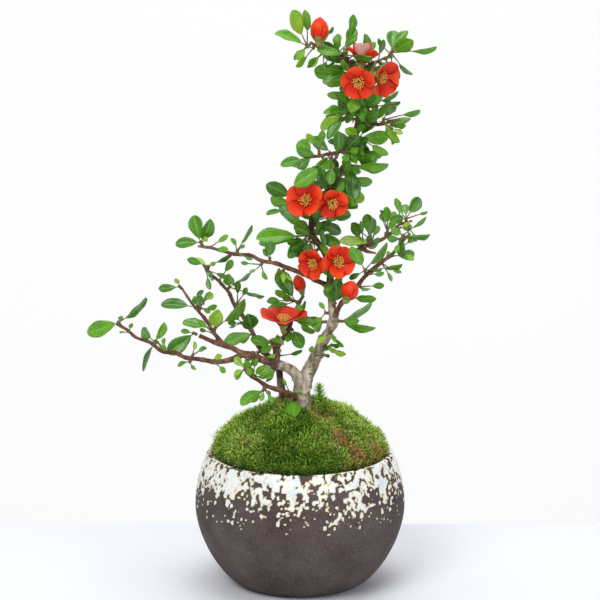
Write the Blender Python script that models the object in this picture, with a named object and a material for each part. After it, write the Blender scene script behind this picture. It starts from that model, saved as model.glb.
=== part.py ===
"""Flowering quince trained as a small bonsai, in a round stoneware pot, with moss over its soil.

Metres, +Z up. The origin is the centre of the pot's flat base. The front of the tree faces -Y. Tables of
the plant give millimetres above the pot's rim, at a tree height of DRAWN_HEIGHT. A heading is an angle in
the front elevation, 0 to the right and 90 straight up. A lean turns that direction towards the front.
"""

import math

import bmesh
import bpy
from mathutils import Matrix, Vector
from mathutils.bvhtree import BVHTree

MM = 0.001

# The pot
POT_HEIGHT = 73.0
POT_BELLY_RADIUS = 57.5
POT_BELLY_HEIGHT = 42.0
POT_BASE_RADIUS = 31.5
POT_RIM_RADIUS = 50.0
POT_WALL = 4.5
POT_FLOOR = 5.0
DRAIN_HOLE_RADIUS = 4.2
DRAIN_HOLE_RING = 12.5
DRAIN_HOLES = 3
POT_BELLY_POWER = 1.6  # 2 would be a quarter of an ellipse from the belly to the foot
POT_FOOT_CHAMFER = 1.5
POT_INNER_CORNER = 3.0  # height over which the inner wall turns into the floor
POT_INNER_CORNER_WIDTH = 5.0

# What lies in the pot
NET_PITCH = 3.6
NET_BAR = 1.2
NET_THICKNESS = 1.0
NET_CELLS = 10
GRAVEL_DEPTH = 9.0
SOIL_EDGE_BELOW_RIM = 4.0
SOIL_MOUND = 18.0
MOSS_MOUND = 25.5
MOSS_EDGE_BELOW_RIM = 0.5
MOSS_HOLLOW_AT = (9.0, -9.0)
MOSS_HOLLOW_DEPTH = 4.0
MOSS_HOLLOW_WIDTH = 7.7
GAP = 0.3  # between pieces that touch
FORWARD = Vector((0.0, -1.0, 0.0))

# The tree
DRAWN_HEIGHT = 240.0
TREE_HEIGHT = 240.0  # above the rim, to the top of the highest bud
WOOD_THICKNESS = 1.0  # every branch's radius is its drawn radius times this
LEAF_SIZE = 1.0  # every leaf's blade is its drawn size times this
FLOWER_SIZE = 1.0
LEAF_THICKNESS = 0.5
PETAL_THICKNESS = 0.5
PETALS = 5
SPROUT_PLACE = (11.0, 5.0)
SPROUT_HEIGHT = 12.0
SPROUT_LEAN = 1.0
SPROUT_RADIUS = 3.4

# Branches: (name, sides, points). A point is x, y, height above the rim, radius.
# The first point of a branch lies inside the one that it grows from.
BRANCHES = (
    ("trunk", 10, (
        (1, 1, -1, 7.2), (1, 0, 8, 6.6), (1, 0, 21, 5.5), (1, 0, 29, 5.0), (1, 0, 35, 4.5), (4, 0, 43, 3.9),
        (8, 0, 51, 3.4), (12, -1, 60, 3.0), (16, -2, 68, 2.7), (18, -2, 73, 2.9), (17, -1, 82, 2.3),
        (16, 0, 91, 2.2), (16, 2, 100, 2.0), (13, 4, 109, 1.9), (8, 5, 116, 1.9), (6, 5, 123, 1.8),
        (8, 4, 132, 1.8), (14, 3, 141, 1.7), (19, 2, 149, 1.7), (25, 1, 159, 1.6), (28, 0, 168, 1.6),
        (30, -1, 178, 1.5), (31, -2, 188, 1.5), (31, -3, 198, 1.3), (29, -4, 207, 1.2), (24, -6, 214, 1.1),
        (17, -7, 218, 1.0), (10, -8, 221, 0.9), (5, -9, 224, 0.8))),
    ("second_stem", 8, (
        (-4, 5, 2, 3.6), (-7, 7, 20, 2.7), (-9, 7, 26, 2.4), (-10, 6, 33, 2.2), (-11, 4, 41, 2.0),
        (-12, 1, 49, 1.8), (-13, 1, 55, 1.8), (-11, 2, 59, 1.6), (-7, 3, 65, 1.4), (-4, 4, 73, 1.2),
        (-1, 5, 80, 1.1), (2, 6, 85, 0.9))),
    ("left", 8, (
        (2, 0, 34, 3.4), (-2, -3, 43, 3.1), (-6, -5, 47, 2.9), (-12, -8, 50, 2.7), (-19, -11, 53, 2.3),
        (-25, -13, 56, 2.1), (-30, -14, 57, 1.9), (-36, -16, 55, 1.6), (-45, -18, 54, 1.5),
        (-53, -20, 56, 1.3), (-60, -21, 57, 1.2), (-67, -21, 60, 1.2), (-73, -20, 60, 1.1),
        (-80, -19, 65, 1.0), (-87, -17, 67, 0.9), (-92, -16, 71, 0.9), (-98, -14, 74, 0.8))),
    ("fork", 6, (
        (-28, -14, 56, 1.6), (-36, -12, 60, 1.5), (-44, -10, 62, 1.4), (-49, -9, 64, 1.2),
        (-54, -8, 66, 1.1))),
    ("fork_up", 6, (
        (-40, -11, 61, 1.2), (-46, -7, 67, 1.1), (-50, -4, 73, 1.0), (-55, 0, 78, 0.9), (-59, 4, 82, 0.8),
        (-64, 8, 89, 0.7))),
    ("back_left", 6, (
        (-11, -7, 49, 1.9), (-20, -2, 56, 1.7), (-24, 2, 61, 1.5), (-26, 6, 65, 1.4), (-31, 12, 72, 1.2),
        (-36, 16, 78, 1.1), (-39, 19, 84, 1.0), (-45, 22, 90, 0.9), (-49, 24, 93, 0.8),
        (-53, 26, 98, 0.7))),
    ("dead_stub", 6, ((-12, 1, 53, 1.3), (-16, 0, 62, 0.9))),
    ("low", 6, (
        (1, 0, 29, 1.8), (-5, -5, 32, 1.6), (-10, -9, 36, 1.4), (-17, -13, 39, 1.2), (-22, -16, 43, 1.1),
        (-26, -18, 46, 0.9), (-29, -20, 49, 0.8))),
    ("upper_left", 6, (
        (17, 0, 90, 1.6), (9, -3, 95, 1.5), (1, -7, 100, 1.4), (-6, -9, 103, 1.3), (-12, -11, 106, 1.2),
        (-20, -13, 108, 1.1), (-26, -14, 111, 1.0), (-34, -15, 112, 1.0), (-41, -16, 114, 0.9),
        (-48, -17, 116, 0.8), (-54, -18, 117, 0.7))),
    ("right", 6, (
        (18, -2, 73, 1.7), (20, -4, 79, 1.5), (24, -7, 86, 1.4), (30, -10, 93, 1.3), (35, -13, 100, 1.2),
        (42, -16, 107, 1.1), (49, -19, 113, 1.0), (53, -21, 119, 0.8), (58, -23, 125, 0.7))),
    ("right_up", 6, (
        (16, 2, 99, 1.6), (22, 4, 105, 1.4), (27, 7, 107, 1.3), (33, 10, 110, 1.2), (39, 13, 112, 1.1),
        (45, 16, 114, 1.0), (49, 19, 116, 0.9), (53, 22, 120, 0.8), (57, 24, 121, 0.8),
        (61, 26, 122, 0.7))),
    ("right_side_twig", 6, ((32, 10, 110, 1.0), (37, 10, 108, 0.8), (41, 11, 107, 0.6))),
    ("twig_left", 6, (
        (28, 0, 168, 1.2), (21, -3, 165, 1.0), (14, -6, 164, 0.9), (8, -8, 163, 0.7))),
    ("twig_right", 6, (
        (30, -1, 179, 1.2), (36, -4, 180, 1.0), (43, -6, 180, 0.9), (48, -8, 182, 0.8), (53, -9, 183, 0.7))),
    ("crown_twig", 6, (
        (29, -4, 206, 1.0), (35, -1, 210, 0.9), (42, 2, 213, 0.8), (48, 4, 215, 0.7))),
)

# Roots inside the soil: points of x, y, height above the rim, radius.
ROOTS = (
    ((-1, 2, 9, 8.5), (-1, 2, 1, 9.0), (-1, 2, -9, 7.0), (0, 1, -22, 3.5)),
    ((-1, 2, -3, 4.0), (12, -8, -9, 3.0), (24, -15, -17, 1.6)),
    ((-1, 2, -3, 4.0), (-14, -6, -8, 2.8), (-26, -12, -18, 1.5)),
    ((-1, 2, -3, 4.0), (5, 17, -9, 2.8), (9, 30, -17, 1.5)),
)

# Knots and old spur scars on the wood: branch, station, heading, lean, radius, how far it stands out.
KNOTS = (
    ("trunk", 4.6, 150, 10, 2.0, 1.6), ("trunk", 6.2, 20, 30, 1.8, 1.6), ("trunk", 7.4, 170, 20, 1.6, 1.3),
    ("trunk", 8.9, 200, 30, 1.6, 1.3), ("left", 3.3, 260, 40, 1.6, 1.2), ("left", 5.0, 100, 30, 1.5, 1.1),
    ("trunk", 20.6, 180, 40, 1.5, 1.2), ("trunk", 22.3, 10, 30, 1.4, 1.1),
)

# Tufts of leaves: (name, branch, station along it, spur, leaves). A spur is heading, length, lean.
# A leaf is heading, reach from the spur's bud, blade length, blade width, lean, roll about its midrib.
TUFTS = (
    ("upper_left_tip", "upper_left", 9.5, (120, 1.2, 10), (
        (105, 15, 13, 8, -15, 0), (65, 17, 14, 7.5, 35, 20), (-175, 14, 12, 6.5, -10, 30),
        (50, 8, 5, 3.2, 50, 0))),
    ("back_left_tip", "back_left", 8.3, (80, 1.2, 20), (
        (155, 13, 8, 4.5, 20, 30), (-175, 10, 8, 4.5, -25, 60), (40, 6, 4, 2.8, 40, 0),
        (25, 15, 10, 5.5, -10, 50))),
    ("back_left_mid", "back_left", 6.1, (60, 1.2, 20), (
        (90, 14, 11, 6.5, 55, 0), (25, 16, 14, 7.5, -25, 60), (-10, 23, 13, 7, 35, 60))),
    ("back_left_low", "back_left", 2.2, (100, 1.5, 30), (
        (-170, 17, 16, 8.5, 20, 50), (-140, 15, 12, 7, -55, 0), (80, 22, 15, 9.5, 50, 10))),
    ("fork_tip", "fork_up", 4.8, (130, 1.0, 20), (
        (-175, 12, 10, 5.5, -10, 40), (115, 6, 4, 2.8, 30, 0))),
    ("fork_mid", "fork_up", 3.0, (100, 1.2, 30), (
        (175, 20, 15, 8, -10, 50), (75, 16, 12, 7.5, 60, 0), (35, 12, 5, 3.2, -25, 0))),
    ("fork_low", "fork_up", 1.1, (70, 1.2, 30), (
        (170, 18, 13, 7, -10, 50), (80, 15, 13, 8, 35, 0), (35, 24, 17, 9.5, -25, 40))),
    ("fork_end", "fork", 3.8, (150, 1.0, 20), (
        (-175, 11, 9, 5, -10, 30), (-155, 18, 16, 9, 20, 50), (140, 8, 6, 3.2, -25, 0))),
    ("left_tip", "left", 15.5, (120, 1.2, 20), (
        (-160, 19, 17, 9.5, -10, 30), (65, 8, 5, 3.2, 50, 0), (30, 21, 17, 9, -25, 50))),
    ("left_mid", "left", 12.6, (90, 1.2, 30), (
        (180, 17, 12, 7, -55, 0), (60, 13, 11, 6, 20, 40), (-115, 17, 14, 7.5, -25, 70),
        (-25, 9, 6, 3.2, 35, 30))),
    ("low_tip", "low", 5.8, (110, 1.0, 20), (
        (75, 10, 8, 5, 50, 0), (135, 9, 7, 4.5, -15, 0), (-160, 7, 5, 3.2, 25, 0),
        (-135, 10, 8, 4.5, -25, 30))),
    ("low_mid", "low", 3.1, (220, 1.0, 30), (
        (-160, 16, 14, 7.5, 35, 50), (-135, 11, 7, 4, -10, 10), (-110, 7, 5, 3, 35, 0))),
    ("second_tip", "second_stem", 10.2, (150, 1.5, 30), (
        (120, 20, 17, 9.5, -25, 20), (170, 18, 8, 4.5, 35, 40), (-165, 19, 15, 8, -10, 50),
        (-40, 10, 6, 3.8, 65, 0))),
    ("node_left", "trunk", 8.9, (180, 1.2, 20), (
        (170, 15, 11, 6, 20, 40), (-135, 14, 12, 7, -45, 0))),
    ("node_right", "trunk", 9.0, (0, 1.5, 30), (
        (20, 21, 18, 10, -25, 50), (10, 11, 9, 5.5, 35, 0), (-20, 20, 18, 10, -10, 50))),
    ("node_up", "trunk", 9.8, (60, 1.5, 50), (
        (85, 18, 16, 9, 35, 30), (115, 10, 8, 4.5, -10, 0))),
    ("right_mid", "right", 4.0, (100, 1.2, 20), (
        (120, 16, 12, 7, 20, 0), (45, 20, 15, 8.5, -25, 50), (15, 24, 11, 6, 35, 50),
        (-150, 10, 7, 3.5, -10, 30))),
    ("right_tip", "right", 7.3, (100, 1.0, 20), (
        (0, 16, 14, 7.5, 20, 60), (-60, 12, 10, 5.5, -25, 30), (-115, 10, 5, 3.2, 25, 0),
        (35, 16, 9, 4.8, -10, 50), (140, 11, 8, 4.8, 50, 0))),
    ("right_up_mid", "right_up", 3.7, (90, 1.2, 30), (
        (95, 15, 11, 6.5, -20, 0), (175, 17, 16, 8.5, 20, 60), (-145, 9, 6, 3.2, -25, 0),
        (80, 17, 13, 7, 35, 50), (-30, 7, 5, 3.2, -25, 0))),
    ("right_up_tip", "right_up", 8.2, (100, 1.2, 20), (
        (50, 17, 12, 7, -40, 0), (20, 13, 5, 2.6, 20, 30), (95, 11, 8, 5, -50, 0),
        (170, 11, 9, 5.5, 45, 0), (120, 8, 5, 2.8, -10, 40))),
    ("crook_left", "trunk", 14.3, (180, 1.5, 10), (
        (130, 24, 17, 9, -25, 40), (175, 29, 22, 11, 25, 50), (-170, 27, 20, 11, -10, 50),
        (-135, 17, 12, 7, 40, 0), (-110, 9, 7, 4.5, -25, 0))),
    ("crook_right", "trunk", 14.8, (60, 1.5, 40), (
        (80, 15, 13, 7, 35, 40), (120, 14, 10, 5.5, -10, 40), (10, 9, 7, 4, 20, 10),
        (-40, 13, 11, 6.5, -45, 0))),
    ("bend_left", "trunk", 16.2, (180, 2.0, -20), (
        (150, 27, 14, 8.5, 15, 0), (175, 24, 12, 7, -25, 0), (165, 20, 8, 4, 30, 50),
        (-170, 24, 9, 5, -10, 60))),
    ("twig_left_tip", "twig_left", 2.8, (180, 1.0, 10), (
        (-170, 18, 11, 6, 20, 30), (140, 16, 14, 8.5, -50, 0), (-145, 11, 9, 5.5, 35, 0),
        (-150, 15, 6, 3.8, -30, 0))),
    ("twig_left_base", "twig_left", 1.1, (250, 1.2, 20), (
        (145, 18, 12, 6.5, -25, 0), (-150, 29, 16, 9.5, 30, 0), (-110, 20, 13, 7, -10, 10),
        (105, 15, 12, 7, 20, 0), (-105, 14, 12, 7, -45, 0))),
    ("upper_mid", "trunk", 18.9, (-20, 1.5, 20), (
        (0, 20, 17, 9, 20, 40), (-65, 12, 10, 6, -45, 0), (-85, 19, 15, 9, 35, 0),
        (-120, 11, 9, 5.5, -40, 0), (-120, 18, 7, 4.5, 35, 0))),
    ("upper_high", "trunk", 20.5, (-10, 1.2, 30), (
        (-85, 14, 12, 7.5, -30, 0), (145, 11, 9, 5.5, 35, 0), (0, 16, 14, 8, -10, 0),
        (-30, 18, 10, 5.2, 20, 20))),
    ("twig_right", "twig_right", 2.1, (80, 1.0, 20), (
        (-45, 17, 15, 8, -25, 40), (-20, 16, 14, 7.5, 35, 50), (55, 15, 12, 7.5, -45, 0),
        (15, 21, 10, 5.2, 20, 40))),
    ("upper_top_right", "trunk", 21.9, (20, 1.5, 20), (
        (60, 20, 18, 10.5, 45, 0), (125, 15, 8, 5, -45, 0), (70, 14, 9, 5.5, 45, 0),
        (20, 22, 11, 6, -25, 50), (15, 23, 9, 5, 35, 50))),
    ("upper_top_left", "trunk", 21.9, (180, 2.0, 10), (
        (-175, 17, 12, 6.5, -25, 50), (175, 13, 12, 6.5, 35, 50), (-150, 20, 14, 7.5, -10, 40),
        (-135, 20, 12, 6.5, 20, 40), (-110, 12, 7, 4.5, -50, 0), (125, 16, 13, 7, 35, 40))),
    ("crown_left", "trunk", 24.0, (180, 1.5, 10), (
        (180, 21, 16, 8.5, -25, 10), (160, 15, 11, 6.5, 45, 0), (-150, 14, 9, 5.5, -15, 0))),
    ("crown_mid", "trunk", 25.1, (80, 1.2, 10), (
        (155, 16, 14, 7.5, 20, 50), (65, 23, 12, 6.5, -25, 40), (20, 20, 14, 7.5, 35, 50),
        (70, 17, 11, 6.5, -30, 0))),
    ("crown_right", "crown_twig", 2.8, (60, 1.0, 0), (
        (35, 17, 14, 8.5, 40, 0), (80, 15, 12, 7.5, -40, 0), (5, 25, 14, 7.5, 20, 60),
        (-55, 20, 11, 6, -25, 50), (-110, 18, 9, 5, -35, 30))),
    ("top", "trunk", 27.7, (200, 1.0, 10), (
        (110, 23, 15, 9, 25, 30), (90, 19, 11, 6, -10, 40), (150, 19, 15, 8, 20, 60),
        (-135, 12, 8, 4.5, -25, 50), (-125, 9, 7, 4.5, 15, 0))),
)

# Open flowers: (name, branch, station, centre from there, way it faces, petal length, cup depth, spin).
# The way it faces is heading, lean.
FLOWERS = (
    ("middle_left", "trunk", 15.9, (-4, -14, 8), (120, 55), 9.5, 5.0, 10),
    ("middle_right", "trunk", 16.9, (3.5, -12, -1), (-60, 72), 7.8, 2.5, 20),
    ("lower_left", "trunk", 12.6, (-6, -11, 1), (190, 60), 7.8, 3.5, 0),
    ("lower_right", "trunk", 12.1, (4, -12, 6), (50, 65), 8.2, 3.5, 30),
    ("top_front", "trunk", 23.3, (0.5, -10, 4.5), (230, 72), 8.6, 3.0, 18),
    ("top_right", "crown_twig", 1.7, (1, -6, -5), (-15, 40), 9.0, 4.5, 40),
    ("top_back", "trunk", 24.4, (5, -2, 3), (80, -15), 8.5, 5.5, 0),
    ("base", "second_stem", 8.0, (-2, -5, 7), (88, 10), 12.0, 4.5, 15),
)

# Buds: (name, branch, station, base from there, way it points, length, radius)
BUDS = (
    ("top", "trunk", 27.0, (0, -3, 5), (88, 10), 12.5, 4.8),
    ("low", "second_stem", 10.9, (-1, -2, 4), (105, 20), 10.0, 3.3),
    ("right", "right", 2.0, (1, -7, 3), (70, 15), 10.5, 4.8),
)

SCALE = TREE_HEIGHT / DRAWN_HEIGHT


# ---------------------------------------------------------------- meshes

def material(name, colour, roughness, metallic=0.0):
    """A Principled material of one colour."""
    made = bpy.data.materials.get(name)
    if made is None:
        made = bpy.data.materials.new(name)
        made.use_nodes = True
        shader = made.node_tree.nodes["Principled BSDF"]
        shader.inputs["Base Color"].default_value = (*colour, 1.0)
        shader.inputs["Roughness"].default_value = roughness
        shader.inputs["Metallic"].default_value = metallic
        made.diffuse_color = (*colour, 1.0)
    return made


def loft(rings):
    """A closed bmesh through the rings, in millimetres. A ring of one point closes that end to a tip."""
    made = bmesh.new()
    rows = [[made.verts.new(point) for point in ring] for ring in rings]
    for low, high in zip(rows, rows[1:]):
        count = max(len(low), len(high))
        for i in range(count):
            j = (i + 1) % count
            if len(low) == 1:
                made.faces.new((low[0], high[j], high[i]))
            elif len(high) == 1:
                made.faces.new((low[i], low[j], high[0]))
            else:
                made.faces.new((low[i], low[j], high[j], high[i]))
    if len(rows[0]) > 1:
        made.faces.new(rows[0])
    if len(rows[-1]) > 1:
        made.faces.new(rows[-1])
    bmesh.ops.recalc_face_normals(made, faces=made.faces)
    bmesh.ops.triangulate(made, faces=made.faces)
    return made


def tube(points, radii, sides):
    """Rings of a tube along the points, each turned as little as it can be from the one before."""
    rings = []
    across = None
    for i, point in enumerate(points):
        along = points[min(i + 1, len(points) - 1)] - points[max(i - 1, 0)]
        along.normalize()
        if across is None:
            across = along.orthogonal()
        across = (across - along * across.dot(along)).normalized()
        other = along.cross(across)
        turns = [math.tau * k / sides for k in range(sides)]
        rings.append([point + radii[i] * (math.cos(t) * across + math.sin(t) * other) for t in turns])
    return rings


def turned(profile, sides):
    """Rings about Z for a profile of (radius, height); a radius of nought is a single point."""
    rings = []
    for radius, height in profile:
        if radius == 0.0:
            rings.append([Vector((0.0, 0.0, height))])
            continue
        turns = [math.tau * k / sides for k in range(sides)]
        rings.append([Vector((radius * math.cos(t), radius * math.sin(t), height)) for t in turns])
    return rings


def finish_object(name, made, look, smooth_angle=50.0):
    """The bmesh, which is in millimetres, as an object in metres."""
    bmesh.ops.scale(made, vec=(MM, MM, MM), verts=made.verts)
    mesh = bpy.data.meshes.new(name)
    made.to_mesh(mesh)
    made.free()
    mesh.materials.append(look)
    mesh.shade_smooth()
    mesh.set_sharp_from_angle(angle=math.radians(smooth_angle))
    thing = bpy.data.objects.new(name, mesh)
    bpy.context.scene.collection.objects.link(thing)
    return thing


def helper(name, made):
    """A shape that only cuts or joins another."""
    thing = finish_object(name, made, material("helper", (0.5, 0.5, 0.5), 0.5))
    thing.hide_render = True
    thing.display_type = "WIRE"
    return thing


def boolean(target, others, operation):
    """The target cut by or joined to the others, as a mesh of its own. The others are taken away.

    Thin blades and fans of triangles meet along sharp edges, which the EXACT solver leaves open.
    """
    for other in others:
        step = target.modifiers.new(other.name, "BOOLEAN")
        step.operation = operation
        step.object = other
        step.solver = "MANIFOLD"
    graph = bpy.context.evaluated_depsgraph_get()
    graph.update()
    mesh = bpy.data.meshes.new_from_object(target.evaluated_get(graph))
    target.modifiers.clear()
    old = target.data
    target.data = mesh
    bpy.data.meshes.remove(old)
    for other in others:
        data = other.data
        bpy.data.objects.remove(other)
        bpy.data.meshes.remove(data)
    mesh.name = target.name
    mesh.shade_smooth()
    mesh.set_sharp_from_angle(angle=math.radians(50.0))
    return target


def united(name, parts, look):
    """The parts, each a closed bmesh in millimetres, joined into one body."""
    first = finish_object(name, parts[0], look)
    others = [helper(f"{name}_part_{i}", made) for i, made in enumerate(parts[1:])]
    return boolean(first, others, "UNION")


# ---------------------------------------------------------------- directions and clearance

def direction(heading, lean):
    """The unit vector of a heading in the front elevation, leant towards the front."""
    turn = math.radians(heading)
    tip = math.radians(lean)
    return Vector((math.cos(turn) * math.cos(tip), -math.sin(tip), math.sin(turn) * math.cos(tip)))


def plant_point(x, y, height):
    """A point of the plant's tables, in millimetres from the origin."""
    return Vector((x * SCALE, y * SCALE, POT_HEIGHT + height * SCALE))


def branch_point(name, station):
    """The point and the radius at a station, a whole number being one of the branch's own points."""
    points = next(row[2] for row in BRANCHES if row[0] == name)
    low = min(int(station), len(points) - 2)
    share = station - low
    x, y, height, radius = (a + (b - a) * share for a, b in zip(points[low], points[low + 1]))
    return plant_point(x, y, height), radius * WOOD_THICKNESS


class Placed:
    """What is already in place, which the pieces that follow stay clear of."""

    def __init__(self):
        self.trees = []

    def add(self, thing):
        points = [vertex.co / MM for vertex in thing.data.vertices]
        faces = [tuple(face.vertices) for face in thing.data.polygons]
        self.trees.append(BVHTree.FromPolygons(points, faces))

    def clear(self, made, tip_gap=GAP):
        """Whether the bmesh crosses nothing and keeps its points tip_gap away from everything."""
        own = BVHTree.FromBMesh(made)
        for tree in self.trees:
            if own.overlap(tree):
                return False
            for vertex in made.verts:
                if tree.find_nearest(vertex.co, tip_gap)[0] is not None:
                    return False
        return True


placed = Placed()


# ---------------------------------------------------------------- pot and what is in it

def pot_radius(height):
    """The pot's outer radius at a height above its base."""
    if height < POT_BELLY_HEIGHT:
        depth = (POT_BELLY_HEIGHT - height) / POT_BELLY_HEIGHT
        swell = (1.0 - depth ** POT_BELLY_POWER) ** (1.0 / POT_BELLY_POWER)
        return POT_BASE_RADIUS + (POT_BELLY_RADIUS - POT_BASE_RADIUS) * swell
    rise = (height - POT_BELLY_HEIGHT) / (POT_HEIGHT - POT_BELLY_HEIGHT)
    closing = 1.0 - (POT_RIM_RADIUS / POT_BELLY_RADIUS) ** 2
    return POT_BELLY_RADIUS * math.sqrt(1.0 - closing * rise ** 2)


def inner_radius(height):
    return pot_radius(height) - POT_WALL


POT_SIDES = 32
HOLE_SIDES = 16
RIM_STEPS = 4
WALL_STEPS = 9
LIP_RADIUS = 0.5 * POT_WALL
LIP_MIDDLE = POT_HEIGHT - LIP_RADIUS
CORNER_TOP = POT_FLOOR + POT_INNER_CORNER


def evenly(first, last, steps):
    """Numbers from first to last, both included, this many steps apart."""
    return [first + (last - first) * i / steps for i in range(steps + 1)]


def pot():
    """The turned pot with its round lip, and holes through its floor."""
    profile = [(0.0, 0.0), (POT_BASE_RADIUS - POT_FOOT_CHAMFER, 0.0)]
    profile += [(pot_radius(height), height) for height in evenly(POT_FOOT_CHAMFER, LIP_MIDDLE, WALL_STEPS)]
    middle = pot_radius(LIP_MIDDLE) - LIP_RADIUS
    for turn in evenly(0.0, math.pi, RIM_STEPS)[1:-1]:
        profile.append((middle + LIP_RADIUS * math.cos(turn), LIP_MIDDLE + LIP_RADIUS * math.sin(turn)))
    profile += [(inner_radius(height), height) for height in evenly(LIP_MIDDLE, CORNER_TOP, WALL_STEPS - 1)]
    profile += [(inner_radius(CORNER_TOP) - POT_INNER_CORNER_WIDTH, POT_FLOOR), (0.0, POT_FLOOR)]
    look = material("stoneware", (0.045, 0.03, 0.026), 0.8)
    body = finish_object("pot", loft(turned(profile, POT_SIDES)), look)
    cutters = []
    for i in range(DRAIN_HOLES):
        turn = math.tau * (i + 0.25) / DRAIN_HOLES
        ends = [(DRAIN_HOLE_RADIUS, -POT_FLOOR), (DRAIN_HOLE_RADIUS, 2.0 * POT_FLOOR)]
        hole = loft(turned(ends, HOLE_SIDES))
        place = (DRAIN_HOLE_RING * math.cos(turn), DRAIN_HOLE_RING * math.sin(turn), 0.0)
        bmesh.ops.translate(hole, vec=place, verts=hole.verts)
        cutters.append(helper(f"drain_cutter_{i}", hole))
    return boolean(body, cutters, "DIFFERENCE")


def drainage_net():
    """A flat plastic net on the floor, over the drain holes."""
    count = 2 * NET_CELLS + 1
    edges = [0.0]
    for i in range(count):
        edges.append(edges[-1] + (NET_BAR if i % 2 == 0 else NET_PITCH - NET_BAR))
    half = 0.5 * edges[-1]
    low = POT_FLOOR + GAP
    net = bmesh.new()
    grid = [[[net.verts.new((x - half, y - half, z)) for z in (low, low + NET_THICKNESS)]
             for y in edges] for x in edges]

    def solid(i, j):
        return 0 <= i < count and 0 <= j < count and (i % 2 == 0 or j % 2 == 0)

    for i in range(count):
        for j in range(count):
            if not solid(i, j):
                continue
            a, b, c, d = grid[i][j], grid[i + 1][j], grid[i + 1][j + 1], grid[i][j + 1]
            net.faces.new((a[1], b[1], c[1], d[1]))
            net.faces.new((d[0], c[0], b[0], a[0]))
            for (low_end, high_end), beside in (((a, b), (i, j - 1)), ((b, c), (i + 1, j)),
                                                ((c, d), (i, j + 1)), ((d, a), (i - 1, j))):
                if not solid(*beside):
                    net.faces.new((low_end[0], high_end[0], high_end[1], low_end[1]))
    bmesh.ops.dissolve_limit(net, angle_limit=0.001, verts=net.verts, edges=net.edges)
    bmesh.ops.triangulate(net, faces=net.faces)
    return finish_object("drainage_net", net, material("net_plastic", (0.03, 0.03, 0.03), 0.5))


NET_TOP = POT_FLOOR + GAP + NET_THICKNESS
GRAVEL_BOTTOM = NET_TOP + GAP
GRAVEL_TOP = GRAVEL_BOTTOM + GRAVEL_DEPTH
SOIL_BOTTOM = GRAVEL_TOP + GAP
FILL_SIDES = 24
FACET_GAP = 0.3  # more room at the wall, because the fillings have fewer sides than the pot
ROOT_SIDES = 8
STEM_POINTS_IN_MOSS = 5  # of the trunk and the second stem, from their feet


def drainage_gravel():
    """Coarse pumice under the soil, as one layer."""
    foot = inner_radius(CORNER_TOP) - POT_INNER_CORNER_WIDTH + GAP
    profile = [(0.0, GRAVEL_BOTTOM), (foot, GRAVEL_BOTTOM)]
    profile += [(inner_radius(max(height, CORNER_TOP)) - GAP - FACET_GAP, height)
                for height in evenly(GRAVEL_BOTTOM, GRAVEL_TOP, 3)[1:]]
    profile.append((0.0, GRAVEL_TOP))
    return finish_object("drainage_gravel", loft(turned(profile, FILL_SIDES)),
                         material("pumice", (0.42, 0.36, 0.28), 0.9))


def mound(radius, edge_height, rise, power):
    """The height of a mound that rises from the pot's lip to its middle."""
    share = min(radius / inner_radius(LIP_MIDDLE), 1.0)
    return edge_height + rise * (1.0 - share ** 2) ** power


def soil_top(radius):
    return mound(radius, POT_HEIGHT - SOIL_EDGE_BELOW_RIM, SOIL_MOUND, 1.1)


def moss_top(radius):
    return mound(radius, POT_HEIGHT - MOSS_EDGE_BELOW_RIM, MOSS_MOUND, 0.85)


def root_tubes(extra):
    """The roots, and the stems' lowest stretches, each with this much room round it."""
    rows = list(ROOTS) + [row[2][:STEM_POINTS_IN_MOSS] for row in BRANCHES[:2]]
    tubes = []
    for row in rows:
        points = [plant_point(x, y, height) for x, y, height, _ in row]
        radii = [radius * WOOD_THICKNESS for *_, radius in row]
        if extra:
            # The flats of a cutter's sides lie nearer its middle than the corners of the wood do.
            radii = [(radius + extra) / math.cos(math.pi / ROOT_SIDES) for radius in radii]
            reach = (points[-1] - points[-2]).normalized()
            points[-1] = points[-1] + reach * extra
        tubes.append(loft(tube(points, radii, ROOT_SIDES)))
    return tubes


def rooted(body):
    """The body with room for the roots and the stems."""
    cutters = [helper(f"{body.name}_cutter_{i}", made) for i, made in enumerate(root_tubes(GAP))]
    return boolean(body, cutters, "DIFFERENCE")


def soil():
    """The soil, mounded towards the trunk."""
    side = POT_HEIGHT - SOIL_EDGE_BELOW_RIM
    profile = [(0.0, SOIL_BOTTOM)]
    profile += [(inner_radius(height) - GAP - FACET_GAP, height) for height in evenly(SOIL_BOTTOM, side, 5)]
    widest = profile[-1][0]
    profile += [(widest * share, soil_top(widest * share)) for share in (0.85, 0.65, 0.42, 0.2)]
    profile.append((0.0, soil_top(0.0)))
    look = material("soil", (0.05, 0.032, 0.02), 0.95)
    return rooted(finish_object("soil", loft(turned(profile, FILL_SIDES)), look))


def moss_cushion():
    """The moss over the soil, in low lumps, with a slight hollow to the right of the trunk."""
    edge = inner_radius(LIP_MIDDLE) - GAP - FACET_GAP
    shares = (0.2, 0.4, 0.6, 0.78, 0.92, 1.0)
    under = [(edge * share, soil_top(edge * share) + GAP + FACET_GAP) for share in shares]
    rings = turned([(0.0, soil_top(0.0) + GAP + FACET_GAP)] + under, FILL_SIDES)
    for share in reversed(shares):
        ring = turned([(edge * share, moss_top(edge * share))], FILL_SIDES)[0]
        for k, point in enumerate(ring):
            turn = math.tau * k / FILL_SIDES
            lumps = 0.8 * math.sin(5 * turn + 9 * share) + 0.6 * math.sin(9 * turn - 14 * share)
            x, y = MOSS_HOLLOW_AT
            off = ((point.x - x) ** 2 + (point.y - y) ** 2) / MOSS_HOLLOW_WIDTH ** 2
            point.z += 4.0 * lumps * share * (1.0 - share) - MOSS_HOLLOW_DEPTH * math.exp(-off)
        rings.append(ring)
    rings.append([Vector((0.0, 0.0, moss_top(0.0)))])
    return rooted(finish_object("moss_cushion", loft(rings), material("moss", (0.09, 0.2, 0.02), 0.9), 80.0))


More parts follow.
